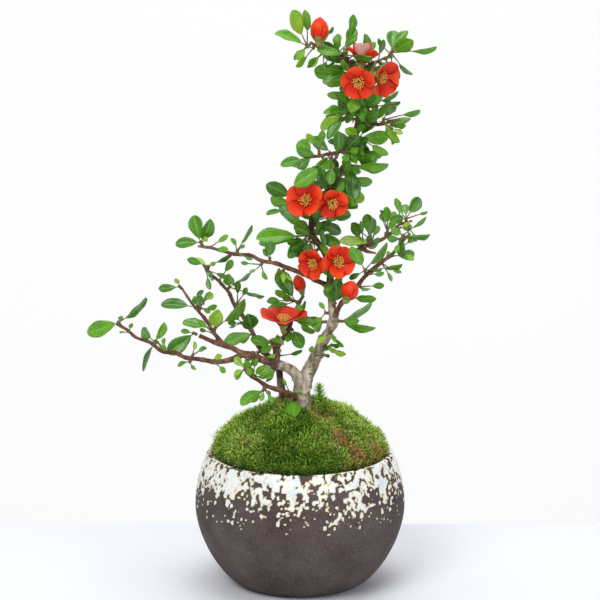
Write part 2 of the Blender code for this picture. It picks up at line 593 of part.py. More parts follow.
def moss_sprout():
    """A young upright shoot that stands in the moss, to the right of the trunk."""
    foot = plant_point(*SPROUT_PLACE, 0.0)
    foot.z = moss_top(math.hypot(foot.x, foot.y)) + 4.0 * GAP
    top = foot + Vector((-SPROUT_LEAN, 0.0, SPROUT_HEIGHT))
    points = [foot, foot.lerp(top, 0.3), foot.lerp(top, 0.7)]
    radii = (0.6 * SPROUT_RADIUS, SPROUT_RADIUS, 0.6 * SPROUT_RADIUS)
    return finish_object("moss_sprout", loft(tube(points, radii, 8) + [[top]]),
                         material("sprout", (0.12, 0.26, 0.03), 0.8))


# ---------------------------------------------------------------- wood

def trunk_and_branches():
    """The wood, from the roots to the twigs, joined into the one piece that it grew as."""
    parts = []
    for _, sides, row in BRANCHES:
        points = [plant_point(x, y, height) for x, y, height, _ in row]
        radii = [radius * WOOD_THICKNESS for *_, radius in row]
        parts.append(loft(tube(points, radii, sides)))
    parts += root_tubes(0.0)[:len(ROOTS)]
    for branch, station, heading, lean, radius, proud in KNOTS:
        foot, thickness = branch_point(branch, station)
        way = direction(heading, lean)
        ends = [foot, foot + way * (thickness + 0.5 * proud), foot + way * (thickness + proud)]
        rings = tube(ends, (radius, radius, 0.5 * radius), 6)
        parts.append(loft(rings))
    return united("trunk_and_branches", parts, material("bark", (0.2, 0.13, 0.09), 0.85))


# ---------------------------------------------------------------- leaves

# The blade's half width as a share of its widest, at shares of its length: it is widest past the middle.
BLADE = ((0.0, 0.2), (0.34, 0.88), (0.7, 0.96))
PETIOLE_RADIUS = 0.4
SHORTEST_PETIOLE = 1.5
LEAF_ARCH = 0.1  # how far the tip hangs, as a share of the blade's length
LEAF_FOLD = 0.14  # how far the margins stand above the midrib, as a share of the half width
SPUR_FOOT_RADIUS = 0.7
SPUR_HUB_RADIUS = 1.0
SPUR_CLEAR = 0.1
SPUR_STEPS = [0.25 * i for i in range(12)]
# Turns tried one after another until a leaf crosses nothing: heading, lean, roll.
TURNS = [(0, 0, 0)] + [(h, t, r) for r in (0, 35, -35) for t in (0, 15, -15, 30, -30, 50, -50)
                       for h in (0, 10, -10, 20, -20, 35, -35) if (h, t, r) != (0, 0, 0)]


def leaf(hub, row, turn):
    """A stalk and a blade, as one closed shape that starts inside the bud at the hub."""
    heading, reach, length, width, lean, roll = row
    along = direction(heading + turn[0], lean + turn[1])
    face = (FORWARD - along * FORWARD.dot(along)).normalized()
    face = Matrix.Rotation(math.radians(roll + turn[2]), 3, along) @ face
    side = along.cross(face)
    length *= LEAF_SIZE
    width *= LEAF_SIZE
    stalk = max(reach * SCALE - length, SHORTEST_PETIOLE)
    total = stalk + length

    def middle_at(distance):
        return hub + along * distance - face * (LEAF_ARCH * length * (distance / total) ** 2)

    rings = []
    for share, outline in BLADE:
        middle = middle_at(stalk + length * share)
        half = 0.5 * width * outline
        fold = face * (LEAF_FOLD * half)
        thick = face * (0.5 * LEAF_THICKNESS)
        rings.append([middle + side * half + fold, middle + thick, middle - side * half + fold, middle - thick])
    first = [side * PETIOLE_RADIUS, face * PETIOLE_RADIUS, side * -PETIOLE_RADIUS, face * -PETIOLE_RADIUS]
    rings.insert(0, [hub + reach for reach in first])
    rings.append([middle_at(total)])
    return loft(rings)


def first_clear(shapes_at, steps, tip_gap=GAP):
    """The shapes at the first step where all of them are clear of what is placed, and that step."""
    for step in steps:
        shapes = shapes_at(step)
        if all(placed.clear(made, tip_gap) for made in shapes):
            return shapes, step
        for made in shapes:
            made.free()
    return shapes_at(steps[0]), steps[0]


def spur(branch, station, way, length):
    """The stalk from just clear of a branch to a hub, and the hub's place."""
    foot, thickness = branch_point(branch, station)

    def start_at(step):
        return foot + way * (thickness + GAP + SPUR_CLEAR + step)

    def shapes_at(step):
        hub = start_at(step) + way * length
        rings = tube([start_at(step), hub], (SPUR_FOOT_RADIUS, SPUR_HUB_RADIUS), 6)
        return [loft(rings + [[hub + way * SPUR_HUB_RADIUS]])]

    shapes, step = first_clear(shapes_at, SPUR_STEPS, 0.5 * GAP)
    return shapes[0], start_at(step) + way * length


def leaf_tuft(name, branch, station, stalk, leaves):
    """The leaves that grow from one spur, joined at its bud."""
    heading, length, lean = stalk
    core, hub = spur(branch, station, direction(heading, lean), length)
    parts = [core]
    for row in leaves:
        shapes, _ = first_clear(lambda turn, row=row: [leaf(hub, row, turn)], TURNS)
        parts += shapes
    tuft = united(f"leaves_{name}", parts, material("leaf", (0.07, 0.24, 0.02), 0.4))
    placed.add(tuft)
    return tuft


# ---------------------------------------------------------------- flowers and buds

# The petal's half width as a share of its widest, at shares of its length.
PETAL = ((0.0, 0.25), (0.42, 0.9), (0.78, 0.98))
PETAL_WIDTH = 0.52  # its widest half width, as a share of its length
PETAL_CURL = 0.16  # how far the margins stand up, as a share of its length
PETAL_FOOT = 0.8  # where a petal starts, from the flower's middle
STALK_RADIUS = 0.7
CUP_RADIUS = 2.3
CUP_HEIGHT = 0.9
CUP_LENGTH = 4.5
STAMEN_FOOT_RADIUS = 0.7
STAMEN_RADIUS = 1.8
STAMEN_HEIGHT = 3.4
STALK_CLEAR = 0.5
FORWARD_STEPS = (0.0, 1.0, 2.0, 3.0, 4.0, 5.0, 6.0, 7.0, 8.0, -2.0, -4.0, 9.0, 10.0, 12.0, 14.0)


def stalk_start(branch, station, towards):
    """Where the stalk of a flower starts, just clear of the wood, on its way towards a place."""
    foot, thickness = branch_point(branch, station)
    return foot + (towards - foot).normalized() * (thickness + GAP + STALK_CLEAR)


def petal(centre, facing, across, turn, length, depth):
    """One cupped petal, as a closed shape that starts inside the receptacle."""
    outward = Matrix.Rotation(turn, 3, facing) @ across
    side = facing.cross(outward)
    thick = facing * (0.5 * PETAL_THICKNESS)
    rings = []
    for share, outline in PETAL:
        rise = depth * math.sin(0.5 * math.pi * share)
        middle = centre + outward * (PETAL_FOOT + length * share) + facing * rise
        half = side * (PETAL_WIDTH * length * outline)
        curl = facing * (PETAL_CURL * length * outline ** 2)
        rings.append([middle + half + curl, middle + thick, middle - half + curl, middle - thick])
    rings.append([centre + outward * (PETAL_FOOT + length) + facing * depth])
    return loft(rings)


def flower_shapes(start, centre, facing, length, depth, spin):
    """The stalk with its cup, and the petals round it."""
    neck = centre - facing * CUP_LENGTH + (start - centre) * 0.15
    path = [start, neck, centre - facing * (0.3 * CUP_LENGTH), centre]
    core = tube(path, (STALK_RADIUS, STALK_RADIUS + 0.3, CUP_RADIUS - 0.3, CUP_RADIUS), 8)
    core.append([centre + facing * CUP_HEIGHT])
    across = facing.orthogonal().normalized()
    turns = [math.radians(spin) + math.tau * i / PETALS for i in range(PETALS)]
    return [loft(core)] + [petal(centre, facing, across, turn, length, depth) for turn in turns]


def flower(name, branch, station, offset, way, length, depth, spin):
    """Two nodes: the petals on their stalk and cup, and the stamens that stand in the middle."""
    facing = direction(*way)
    foot, _ = branch_point(branch, station)

    def centre_at(step):
        return foot + SCALE * Vector(offset) + step * FORWARD

    def shapes_at(step):
        centre = centre_at(step)
        start = stalk_start(branch, station, centre)
        return flower_shapes(start, centre, facing, length * FLOWER_SIZE, depth * FLOWER_SIZE, spin)

    parts, step = first_clear(shapes_at, FORWARD_STEPS)
    corolla = united(f"flower_{name}_petals", parts, material("petal", (0.75, 0.06, 0.015), 0.5))
    low = centre_at(step) + facing * (CUP_HEIGHT + GAP)
    high = low + facing * STAMEN_HEIGHT
    rings = tube([low, low.lerp(high, 0.75)], (STAMEN_FOOT_RADIUS, STAMEN_RADIUS), 8) + [[high]]
    stamens = finish_object(f"flower_{name}_stamens", loft(rings), material("stamen", (0.85, 0.6, 0.08), 0.6))
    placed.add(corolla)
    placed.add(stamens)
    return corolla, stamens


# The shut bud's radius as a share of its widest, at shares of its length.
BUD = ((0.0, 0.45), (0.2, 0.86), (0.45, 1.0), (0.75, 0.75), (0.93, 0.35))
BUD_NECK = 1.5
BUD_NECK_RADIUS = 1.2


def bud(name, branch, station, offset, way, length, radius):
    """A bud that is still shut, on its stalk. It stands at the offset from its place on the branch."""
    pointing = direction(*way)
    foot, _ = branch_point(branch, station)

    def shapes_at(step):
        base = foot + SCALE * Vector(offset) + step * FORWARD
        points = [stalk_start(branch, station, base), base - pointing * BUD_NECK]
        points += [base + pointing * length * share for share, _ in BUD]
        radii = [STALK_RADIUS, BUD_NECK_RADIUS] + [radius * outline for _, outline in BUD]
        return [loft(tube(points, radii, 10) + [[base + pointing * length]])]

    shapes, _ = first_clear(shapes_at, FORWARD_STEPS)
    made = finish_object(f"bud_{name}", shapes[0], material("bud", (0.75, 0.06, 0.015), 0.5))
    placed.add(made)
    return made


# ---------------------------------------------------------------- the whole

def clear_scene():
    for thing in list(bpy.data.objects):
        bpy.data.objects.remove(thing)


def main():
    clear_scene()
    placed.add(pot())
    drainage_net()
    drainage_gravel()
    soil()
    placed.add(moss_cushion())
    placed.add(trunk_and_branches())
    placed.add(moss_sprout())
    for row in FLOWERS:
        flower(*row)
    for row in BUDS:
        bud(*row)
    for row in TUFTS:
        leaf_tuft(*row)


main()
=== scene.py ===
"""The looks of a flowering quince bonsai in a drip-glazed stoneware pot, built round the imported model.

Millimetres, but for the studio and the materials, which are in metres. The plant's tables repeat the part's
own: heights are above the pot's rim, a heading is an angle in the front elevation, 0 to the right and 90
straight up, and a lean turns it towards the front, which is -Y.
"""

import math

import bpy
import numpy as np
from mathutils import Matrix, Vector, noise
from mathutils.bvhtree import BVHTree
from mathutils.kdtree import KDTree


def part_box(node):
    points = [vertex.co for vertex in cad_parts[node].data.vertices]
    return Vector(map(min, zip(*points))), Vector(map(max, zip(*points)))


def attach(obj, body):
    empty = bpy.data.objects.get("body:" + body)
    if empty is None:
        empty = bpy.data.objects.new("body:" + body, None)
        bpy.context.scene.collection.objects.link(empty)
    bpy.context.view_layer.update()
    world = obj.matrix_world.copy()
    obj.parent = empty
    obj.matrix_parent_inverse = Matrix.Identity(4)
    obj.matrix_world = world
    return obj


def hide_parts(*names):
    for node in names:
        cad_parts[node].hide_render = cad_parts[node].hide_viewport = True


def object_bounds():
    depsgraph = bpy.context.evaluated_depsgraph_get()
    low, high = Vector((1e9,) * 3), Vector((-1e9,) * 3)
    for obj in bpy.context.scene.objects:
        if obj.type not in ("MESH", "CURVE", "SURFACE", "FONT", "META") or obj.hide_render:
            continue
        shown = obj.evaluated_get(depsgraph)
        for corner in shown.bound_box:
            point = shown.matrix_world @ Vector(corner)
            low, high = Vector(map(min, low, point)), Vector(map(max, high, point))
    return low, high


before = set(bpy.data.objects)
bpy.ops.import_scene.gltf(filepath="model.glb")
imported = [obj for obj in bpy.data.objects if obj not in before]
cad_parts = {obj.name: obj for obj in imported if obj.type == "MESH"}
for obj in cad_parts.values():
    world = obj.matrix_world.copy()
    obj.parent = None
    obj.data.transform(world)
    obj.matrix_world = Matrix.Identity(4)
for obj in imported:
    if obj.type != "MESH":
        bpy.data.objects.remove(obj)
cad_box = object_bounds()

MM = 0.001
FORWARD = Vector((0.0, -1.0, 0.0))
DOWN = Vector((0.0, 0.0, -1.0))
GOLDEN_TURN = math.pi * (3.0 - math.sqrt(5.0))

# The pot, as in the part.
POT_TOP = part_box("pot")[1]
RIM = POT_TOP.z / MM
BELLY_RADIUS = POT_TOP.x / MM
BELLY_HEIGHT = 42.0
BASE_RADIUS = 31.5
RIM_RADIUS = 50.0
WALL = 4.5
LIP = 0.5 * WALL
FLOOR = 5.0
HOLE_RADIUS = 4.2
HOLE_RING = 12.5
DRAIN_HOLES = [(HOLE_RING * math.cos(turn), HOLE_RING * math.sin(turn))
               for turn in (math.tau / 12, math.tau * 5 / 12, math.tau * 3 / 4)]

# Its surface.
POT_SIDES = 500
GLAZE_THICK = 0.38
GLAZE_DEPTH = 36.0
DROPS = 520

# The plant.
VOXEL = 0.38
GAP = 0.3
PETALS = 5
STAMENS = 26
NEEDLES = 54
LEAF_ARCH = 0.1
LEAF_THICK = 0.30
PETAL_THICK = 0.28
ALONG = 26
ACROSS = 7

# The moss: the distance between shoots, and how far below the cushion's skin each is rooted.
SHOOT_SPACING = 1.08
SHOOT_ROOT = 1.6
MOSS_TEMPLATES = 8

# Branches: (name, points). A point is x, y, height above the rim, radius.
# The first point of a branch lies inside the one that it grows from.
BRANCHES = (
    ("trunk", (
        (1, 1, -1, 7.2), (1, 0, 8, 6.6), (1, 0, 21, 5.5), (1, 0, 29, 5.0), (1, 0, 35, 4.5), (4, 0, 43, 3.9),
        (8, 0, 51, 3.4), (12, -1, 60, 3.0), (16, -2, 68, 2.7), (18, -2, 73, 2.9), (17, -1, 82, 2.3),
        (16, 0, 91, 2.2), (16, 2, 100, 2.0), (13, 4, 109, 1.9), (8, 5, 116, 1.9), (6, 5, 123, 1.8),
        (8, 4, 132, 1.8), (14, 3, 141, 1.7), (19, 2, 149, 1.7), (25, 1, 159, 1.6), (28, 0, 168, 1.6),
        (30, -1, 178, 1.5), (31, -2, 188, 1.5), (31, -3, 198, 1.3), (29, -4, 207, 1.2), (24, -6, 214, 1.1),
        (17, -7, 218, 1.0), (10, -8, 221, 0.9), (5, -9, 224, 0.8))),
    ("second_stem", (
        (-4, 5, 2, 3.6), (-7, 7, 20, 2.7), (-9, 7, 26, 2.4), (-10, 6, 33, 2.2), (-11, 4, 41, 2.0),
        (-12, 1, 49, 1.8), (-13, 1, 55, 1.8), (-11, 2, 59, 1.6), (-7, 3, 65, 1.4), (-4, 4, 73, 1.2),
        (-1, 5, 80, 1.1), (2, 6, 85, 0.9))),
    ("left", (
        (2, 0, 34, 3.4), (-2, -3, 43, 3.1), (-6, -5, 47, 2.9), (-12, -8, 50, 2.7), (-19, -11, 53, 2.3),
        (-25, -13, 56, 2.1), (-30, -14, 57, 1.9), (-36, -16, 55, 1.6), (-45, -18, 54, 1.5),
        (-53, -20, 56, 1.3), (-60, -21, 57, 1.2), (-67, -21, 60, 1.2), (-73, -20, 60, 1.1),
        (-80, -19, 65, 1.0), (-87, -17, 67, 0.9), (-92, -16, 71, 0.9), (-98, -14, 74, 0.8))),
    ("fork", (
        (-28, -14, 56, 1.6), (-36, -12, 60, 1.5), (-44, -10, 62, 1.4), (-49, -9, 64, 1.2),
        (-54, -8, 66, 1.1))),
    ("fork_up", (
        (-40, -11, 61, 1.2), (-46, -7, 67, 1.1), (-50, -4, 73, 1.0), (-55, 0, 78, 0.9), (-59, 4, 82, 0.8),
        (-64, 8, 89, 0.7))),
    ("back_left", (
        (-11, -7, 49, 1.9), (-20, -2, 56, 1.7), (-24, 2, 61, 1.5), (-26, 6, 65, 1.4), (-31, 12, 72, 1.2),
        (-36, 16, 78, 1.1), (-39, 19, 84, 1.0), (-45, 22, 90, 0.9), (-49, 24, 93, 0.8),
        (-53, 26, 98, 0.7))),
    ("dead_stub", ((-12, 1, 53, 1.3), (-16, 0, 62, 0.9))),
    ("low", (
        (1, 0, 29, 1.8), (-5, -5, 32, 1.6), (-10, -9, 36, 1.4), (-17, -13, 39, 1.2), (-22, -16, 43, 1.1),
        (-26, -18, 46, 0.9), (-29, -20, 49, 0.8))),
    ("upper_left", (
        (17, 0, 90, 1.6), (9, -3, 95, 1.5), (1, -7, 100, 1.4), (-6, -9, 103, 1.3), (-12, -11, 106, 1.2),
        (-20, -13, 108, 1.1), (-26, -14, 111, 1.0), (-34, -15, 112, 1.0), (-41, -16, 114, 0.9),
        (-48, -17, 116, 0.8), (-54, -18, 117, 0.7))),
    ("right", (
        (18, -2, 73, 1.7), (20, -4, 79, 1.5), (24, -7, 86, 1.4), (30, -10, 93, 1.3), (35, -13, 100, 1.2),
        (42, -16, 107, 1.1), (49, -19, 113, 1.0), (53, -21, 119, 0.8), (58, -23, 125, 0.7))),
    ("right_up", (
        (16, 2, 99, 1.6), (22, 4, 105, 1.4), (27, 7, 107, 1.3), (33, 10, 110, 1.2), (39, 13, 112, 1.1),
        (45, 16, 114, 1.0), (49, 19, 116, 0.9), (53, 22, 120, 0.8), (57, 24, 121, 0.8),
        (61, 26, 122, 0.7))),
    ("right_side_twig", ((32, 10, 110, 1.0), (37, 10, 108, 0.8), (41, 11, 107, 0.6))),
    ("twig_left", (
        (28, 0, 168, 1.2), (21, -3, 165, 1.0), (14, -6, 164, 0.9), (8, -8, 163, 0.7))),
    ("twig_right", (
        (30, -1, 179, 1.2), (36, -4, 180, 1.0), (43, -6, 180, 0.9), (48, -8, 182, 0.8), (53, -9, 183, 0.7))),
    ("crown_twig", (
        (29, -4, 206, 1.0), (35, -1, 210, 0.9), (42, 2, 213, 0.8), (48, 4, 215, 0.7))),
)

# Knots and old spur scars on the wood: branch, station, heading, lean, radius, how far it stands out.
KNOTS = (
    ("trunk", 4.6, 150, 10, 2.0, 1.6), ("trunk", 6.2, 20, 30, 1.8, 1.6), ("trunk", 7.4, 170, 20, 1.6, 1.3),
    ("trunk", 8.9, 200, 30, 1.6, 1.3), ("left", 3.3, 260, 40, 1.6, 1.2), ("left", 5.0, 100, 30, 1.5, 1.1),
    ("trunk", 20.6, 180, 40, 1.5, 1.2), ("trunk", 22.3, 10, 30, 1.4, 1.1),
)

# Tufts of leaves: (name, branch, station along it, spur, leaves). A spur is heading, length, lean.
# A leaf is heading, reach from the spur's bud, blade length, blade width, lean, roll about its midrib.
TUFTS = (
    ("upper_left_tip", "upper_left", 9.5, (120, 1.2, 10), (
        (105, 15, 13, 8, -15, 0), (65, 17, 14, 7.5, 35, 20), (-175, 14, 12, 6.5, -10, 30),
        (50, 8, 5, 3.2, 50, 0))),
    ("back_left_tip", "back_left", 8.3, (80, 1.2, 20), (
        (155, 13, 8, 4.5, 20, 30), (-175, 10, 8, 4.5, -25, 60), (40, 6, 4, 2.8, 40, 0),
        (25, 15, 10, 5.5, -10, 50))),
    ("back_left_mid", "back_left", 6.1, (60, 1.2, 20), (
        (90, 14, 11, 6.5, 55, 0), (25, 16, 14, 7.5, -25, 60), (-10, 23, 13, 7, 35, 60))),
    ("back_left_low", "back_left", 2.2, (100, 1.5, 30), (
        (-170, 17, 16, 8.5, 20, 50), (-140, 15, 12, 7, -55, 0), (80, 22, 15, 9.5, 50, 10))),
    ("fork_tip", "fork_up", 4.8, (130, 1.0, 20), (
        (-175, 12, 10, 5.5, -10, 40), (115, 6, 4, 2.8, 30, 0))),
    ("fork_mid", "fork_up", 3.0, (100, 1.2, 30), (
        (175, 20, 15, 8, -10, 50), (75, 16, 12, 7.5, 60, 0), (35, 12, 5, 3.2, -25, 0))),
    ("fork_low", "fork_up", 1.1, (70, 1.2, 30), (
        (170, 18, 13, 7, -10, 50), (80, 15, 13, 8, 35, 0), (35, 24, 17, 9.5, -25, 40))),
    ("fork_end", "fork", 3.8, (150, 1.0, 20), (
        (-175, 11, 9, 5, -10, 30), (-155, 18, 16, 9, 20, 50), (140, 8, 6, 3.2, -25, 0))),
    ("left_tip", "left", 15.5, (120, 1.2, 20), (
        (-160, 19, 17, 9.5, -10, 30), (65, 8, 5, 3.2, 50, 0), (30, 21, 17, 9, -25, 50))),
    ("left_mid", "left", 12.6, (90, 1.2, 30), (
        (180, 17, 12, 7, -55, 0), (60, 13, 11, 6, 20, 40), (-115, 17, 14, 7.5, -25, 70),
        (-25, 9, 6, 3.2, 35, 30))),
    ("low_tip", "low", 5.8, (110, 1.0, 20), (
        (75, 10, 8, 5, 50, 0), (135, 9, 7, 4.5, -15, 0), (-160, 7, 5, 3.2, 25, 0),
        (-135, 10, 8, 4.5, -25, 30))),
    ("low_mid", "low", 3.1, (220, 1.0, 30), (
        (-160, 16, 14, 7.5, 35, 50), (-135, 11, 7, 4, -10, 10), (-110, 7, 5, 3, 35, 0))),
    ("second_tip", "second_stem", 10.2, (150, 1.5, 30), (
        (120, 20, 17, 9.5, -25, 20), (170, 18, 8, 4.5, 35, 40), (-165, 19, 15, 8, -10, 50),
        (-40, 10, 6, 3.8, 65, 0))),
    ("node_left", "trunk", 8.9, (180, 1.2, 20), (
        (170, 15, 11, 6, 20, 40), (-135, 14, 12, 7, -45, 0))),
    ("node_right", "trunk", 9.0, (0, 1.5, 30), (
        (20, 21, 18, 10, -25, 50), (10, 11, 9, 5.5, 35, 0), (-20, 20, 18, 10, -10, 50))),
    ("node_up", "trunk", 9.8, (60, 1.5, 50), (
        (85, 18, 16, 9, 35, 30), (115, 10, 8, 4.5, -10, 0))),
    ("right_mid", "right", 4.0, (100, 1.2, 20), (
        (120, 16, 12, 7, 20, 0), (45, 20, 15, 8.5, -25, 50), (15, 24, 11, 6, 35, 50),
        (-150, 10, 7, 3.5, -10, 30))),
    ("right_tip", "right", 7.3, (100, 1.0, 20), (
        (0, 16, 14, 7.5, 20, 60), (-60, 12, 10, 5.5, -25, 30), (-115, 10, 5, 3.2, 25, 0),
        (35, 16, 9, 4.8, -10, 50), (140, 11, 8, 4.8, 50, 0))),
    ("right_up_mid", "right_up", 3.7, (90, 1.2, 30), (
        (95, 15, 11, 6.5, -20, 0), (175, 17, 16, 8.5, 20, 60), (-145, 9, 6, 3.2, -25, 0),
        (80, 17, 13, 7, 35, 50), (-30, 7, 5, 3.2, -25, 0))),
    ("right_up_tip", "right_up", 8.2, (100, 1.2, 20), (
        (50, 17, 12, 7, -40, 0), (20, 13, 5, 2.6, 20, 30), (95, 11, 8, 5, -50, 0),
        (170, 11, 9, 5.5, 45, 0), (120, 8, 5, 2.8, -10, 40))),
    ("crook_left", "trunk", 14.3, (180, 1.5, 10), (
        (130, 24, 17, 9, -25, 40), (175, 29, 22, 11, 25, 50), (-170, 27, 20, 11, -10, 50),
        (-135, 17, 12, 7, 40, 0), (-110, 9, 7, 4.5, -25, 0))),
    ("crook_right", "trunk", 14.8, (60, 1.5, 40), (
        (80, 15, 13, 7, 35, 40), (120, 14, 10, 5.5, -10, 40), (10, 9, 7, 4, 20, 10),
        (-40, 13, 11, 6.5, -45, 0))),
    ("bend_left", "trunk", 16.2, (180, 2.0, -20), (
        (150, 27, 14, 8.5, 15, 0), (175, 24, 12, 7, -25, 0), (165, 20, 8, 4, 30, 50),
        (-170, 24, 9, 5, -10, 60))),
    ("twig_left_tip", "twig_left", 2.8, (180, 1.0, 10), (
        (-170, 18, 11, 6, 20, 30), (140, 16, 14, 8.5, -50, 0), (-145, 11, 9, 5.5, 35, 0),
        (-150, 15, 6, 3.8, -30, 0))),
    ("twig_left_base", "twig_left", 1.1, (250, 1.2, 20), (
        (145, 18, 12, 6.5, -25, 0), (-150, 29, 16, 9.5, 30, 0), (-110, 20, 13, 7, -10, 10),
        (105, 15, 12, 7, 20, 0), (-105, 14, 12, 7, -45, 0))),
    ("upper_mid", "trunk", 18.9, (-20, 1.5, 20), (
        (0, 20, 17, 9, 20, 40), (-65, 12, 10, 6, -45, 0), (-85, 19, 15, 9, 35, 0),
        (-120, 11, 9, 5.5, -40, 0), (-120, 18, 7, 4.5, 35, 0))),
    ("upper_high", "trunk", 20.5, (-10, 1.2, 30), (
        (-85, 14, 12, 7.5, -30, 0), (145, 11, 9, 5.5, 35, 0), (0, 16, 14, 8, -10, 0),
        (-30, 18, 10, 5.2, 20, 20))),
    ("twig_right", "twig_right", 2.1, (80, 1.0, 20), (
        (-45, 17, 15, 8, -25, 40), (-20, 16, 14, 7.5, 35, 50), (55, 15, 12, 7.5, -45, 0),
        (15, 21, 10, 5.2, 20, 40))),
    ("upper_top_right", "trunk", 21.9, (20, 1.5, 20), (
        (60, 20, 18, 10.5, 45, 0), (125, 15, 8, 5, -45, 0), (70, 14, 9, 5.5, 45, 0),
        (20, 22, 11, 6, -25, 50), (15, 23, 9, 5, 35, 50))),
    ("upper_top_left", "trunk", 21.9, (180, 2.0, 10), (
        (-175, 17, 12, 6.5, -25, 50), (175, 13, 12, 6.5, 35, 50), (-150, 20, 14, 7.5, -10, 40),
        (-135, 20, 12, 6.5, 20, 40), (-110, 12, 7, 4.5, -50, 0), (125, 16, 13, 7, 35, 40))),
    ("crown_left", "trunk", 24.0, (180, 1.5, 10), (
        (180, 21, 16, 8.5, -25, 10), (160, 15, 11, 6.5, 45, 0), (-150, 14, 9, 5.5, -15, 0))),
    ("crown_mid", "trunk", 25.1, (80, 1.2, 10), (
        (155, 16, 14, 7.5, 20, 50), (65, 23, 12, 6.5, -25, 40), (20, 20, 14, 7.5, 35, 50),
        (70, 17, 11, 6.5, -30, 0))),
    ("crown_right", "crown_twig", 2.8, (60, 1.0, 0), (
        (35, 17, 14, 8.5, 40, 0), (80, 15, 12, 7.5, -40, 0), (5, 25, 14, 7.5, 20, 60),
        (-55, 20, 11, 6, -25, 50), (-110, 18, 9, 5, -35, 30))),
    ("top", "trunk", 27.7, (200, 1.0, 10), (
        (110, 23, 15, 9, 25, 30), (90, 19, 11, 6, -10, 40), (150, 19, 15, 8, 20, 60),
        (-135, 12, 8, 4.5, -25, 50), (-125, 9, 7, 4.5, 15, 0))),
)

# Open flowers: (name, branch, station, centre from there, way it faces, petal length, cup depth, spin).
# The way it faces is heading, lean.
FLOWERS = (
    ("middle_left", "trunk", 15.9, (-4, -14, 8), (120, 55), 9.5, 5.0, 10),
    ("middle_right", "trunk", 16.9, (3.5, -12, -1), (-60, 72), 7.8, 2.5, 20),
    ("lower_left", "trunk", 12.6, (-6, -11, 1), (190, 60), 7.8, 3.5, 0),
    ("lower_right", "trunk", 12.1, (4, -12, 6), (50, 65), 8.2, 3.5, 30),
    ("top_front", "trunk", 23.3, (0.5, -10, 4.5), (230, 72), 8.6, 3.0, 18),
    ("top_right", "crown_twig", 1.7, (1, -6, -5), (-15, 40), 9.0, 4.5, 40),
    ("top_back", "trunk", 24.4, (5, -2, 3), (80, -15), 8.5, 5.5, 0),
    ("base", "second_stem", 8.0, (-2, -5, 7), (88, 10), 12.0, 4.5, 15),
)

# Buds: (name, branch, station, base from there, way it points, length, radius)
BUDS = (
    ("top", "trunk", 27.0, (0, -3, 5), (88, 10), 12.5, 4.8),
    ("low", "second_stem", 10.9, (-1, -2, 4), (105, 20), 10.0, 3.3),
    ("right", "right", 2.0, (1, -7, 3), (70, 15), 10.5, 4.8),
)

# Small leaves that the CAD model leaves out: (branch, first and last station, how many spurs, blade lengths).
SMALL_LEAVES = (
    ("trunk", 13.2, 15.8, 9, (7.0, 12.0)), ("trunk", 15.8, 24.6, 32, (7.0, 13.5)),
    ("trunk", 24.6, 27.6, 7, (5.0, 9.0)), ("trunk", 5.6, 12.6, 7, (4.5, 8.5)),
    ("crown_twig", 0.8, 2.9, 7, (6.0, 11.0)), ("twig_left", 0.6, 2.8, 6, (6.0, 11.0)),
    ("twig_right", 0.6, 3.7, 5, (5.0, 10.0)), ("right", 2.4, 7.8, 7, (4.5, 9.0)),
    ("right_up", 2.0, 8.8, 8, (4.5, 9.0)), ("upper_left", 1.0, 9.5, 5, (3.5, 6.5)),
    ("left", 1.5, 15.8, 6, (3.5, 6.5)), ("second_stem", 5.0, 10.5, 5, (5.0, 9.0)),
    ("back_left", 1.0, 8.8, 5, (4.0, 7.5)), ("fork_up", 0.5, 4.8, 3, (4.0, 7.0)),
    ("low", 1.0, 5.6, 3, (3.5, 6.0)),
)

# Larger ones beyond the CAD tufts: (branch, station, spur, shade, leaves), spurs and leaves as in TUFTS.
PLACED_LEAVES = (
    ("low", 1.0, (-60, 2.0, 70), 0.5, ((-76, 13, 10.5, 9.0, 60, 0),)),
    ("low", 4.4, (100, 1.0, 30), 0.66, ((150, 8, 6.5, 4.5, 25, 20), (60, 9, 7, 4.5, 30, 30))),
    ("upper_left", 6.9, (90, 1.0, 10), 0.45, ((115, 7.5, 5, 2.8, -10, 30), (57, 16.5, 12, 4.5, 10, 55))),
    ("upper_left", 4.5, (90, 1.0, 20), 0.25, ((85, 11, 9, 6, 20, 10), (120, 7, 5, 3, 20, 30))),
    ("left", 2.9, (200, 1.0, 40), 0.62, (
        (183, 11, 9, 6.5, 35, 20), (220, 8, 6.5, 4.5, 35, 20), (150, 8, 7, 4.5, 30, 20))),
    ("left", 9.6, (230, 1.0, 20), 0.4, ((205, 8, 6, 3, -20, 40), (-55, 5, 4, 2.6, 10, 30))),
    ("second_stem", 8.4, (-40, 1.0, 30), 0.5, ((-60, 11.5, 10, 7.5, 25, 0), (222, 8, 6.5, 4.5, 25, 20))),
    ("second_stem", 6.8, (150, 1.0, 30), 0.4, ((142, 14, 11, 6.5, 20, 20),)),
    ("right", 2.0, (10, 1.0, 20), 0.4, ((0, 15, 11, 6, 20, 30),)),
    ("trunk", 17.7, (-30, 1.0, -20), 0.85, ((-32, 18, 12, 7.5, -15, 10),)),
)

rng = np.random.default_rng(7)
noise.seed_set(7)


# ---------------------------------------------------------------- meshes

def add_object(name, data):
    thing = bpy.data.objects.new(name, data)
    bpy.context.scene.collection.objects.link(thing)
    return thing


def mesh_of(name, points, faces):
    """A mesh from points in metres, and faces of any kind as lists."""
    mesh = bpy.data.meshes.new(name)
    mesh.from_pydata([tuple(point) for point in points], [], [list(map(int, face)) for face in faces])
    return mesh


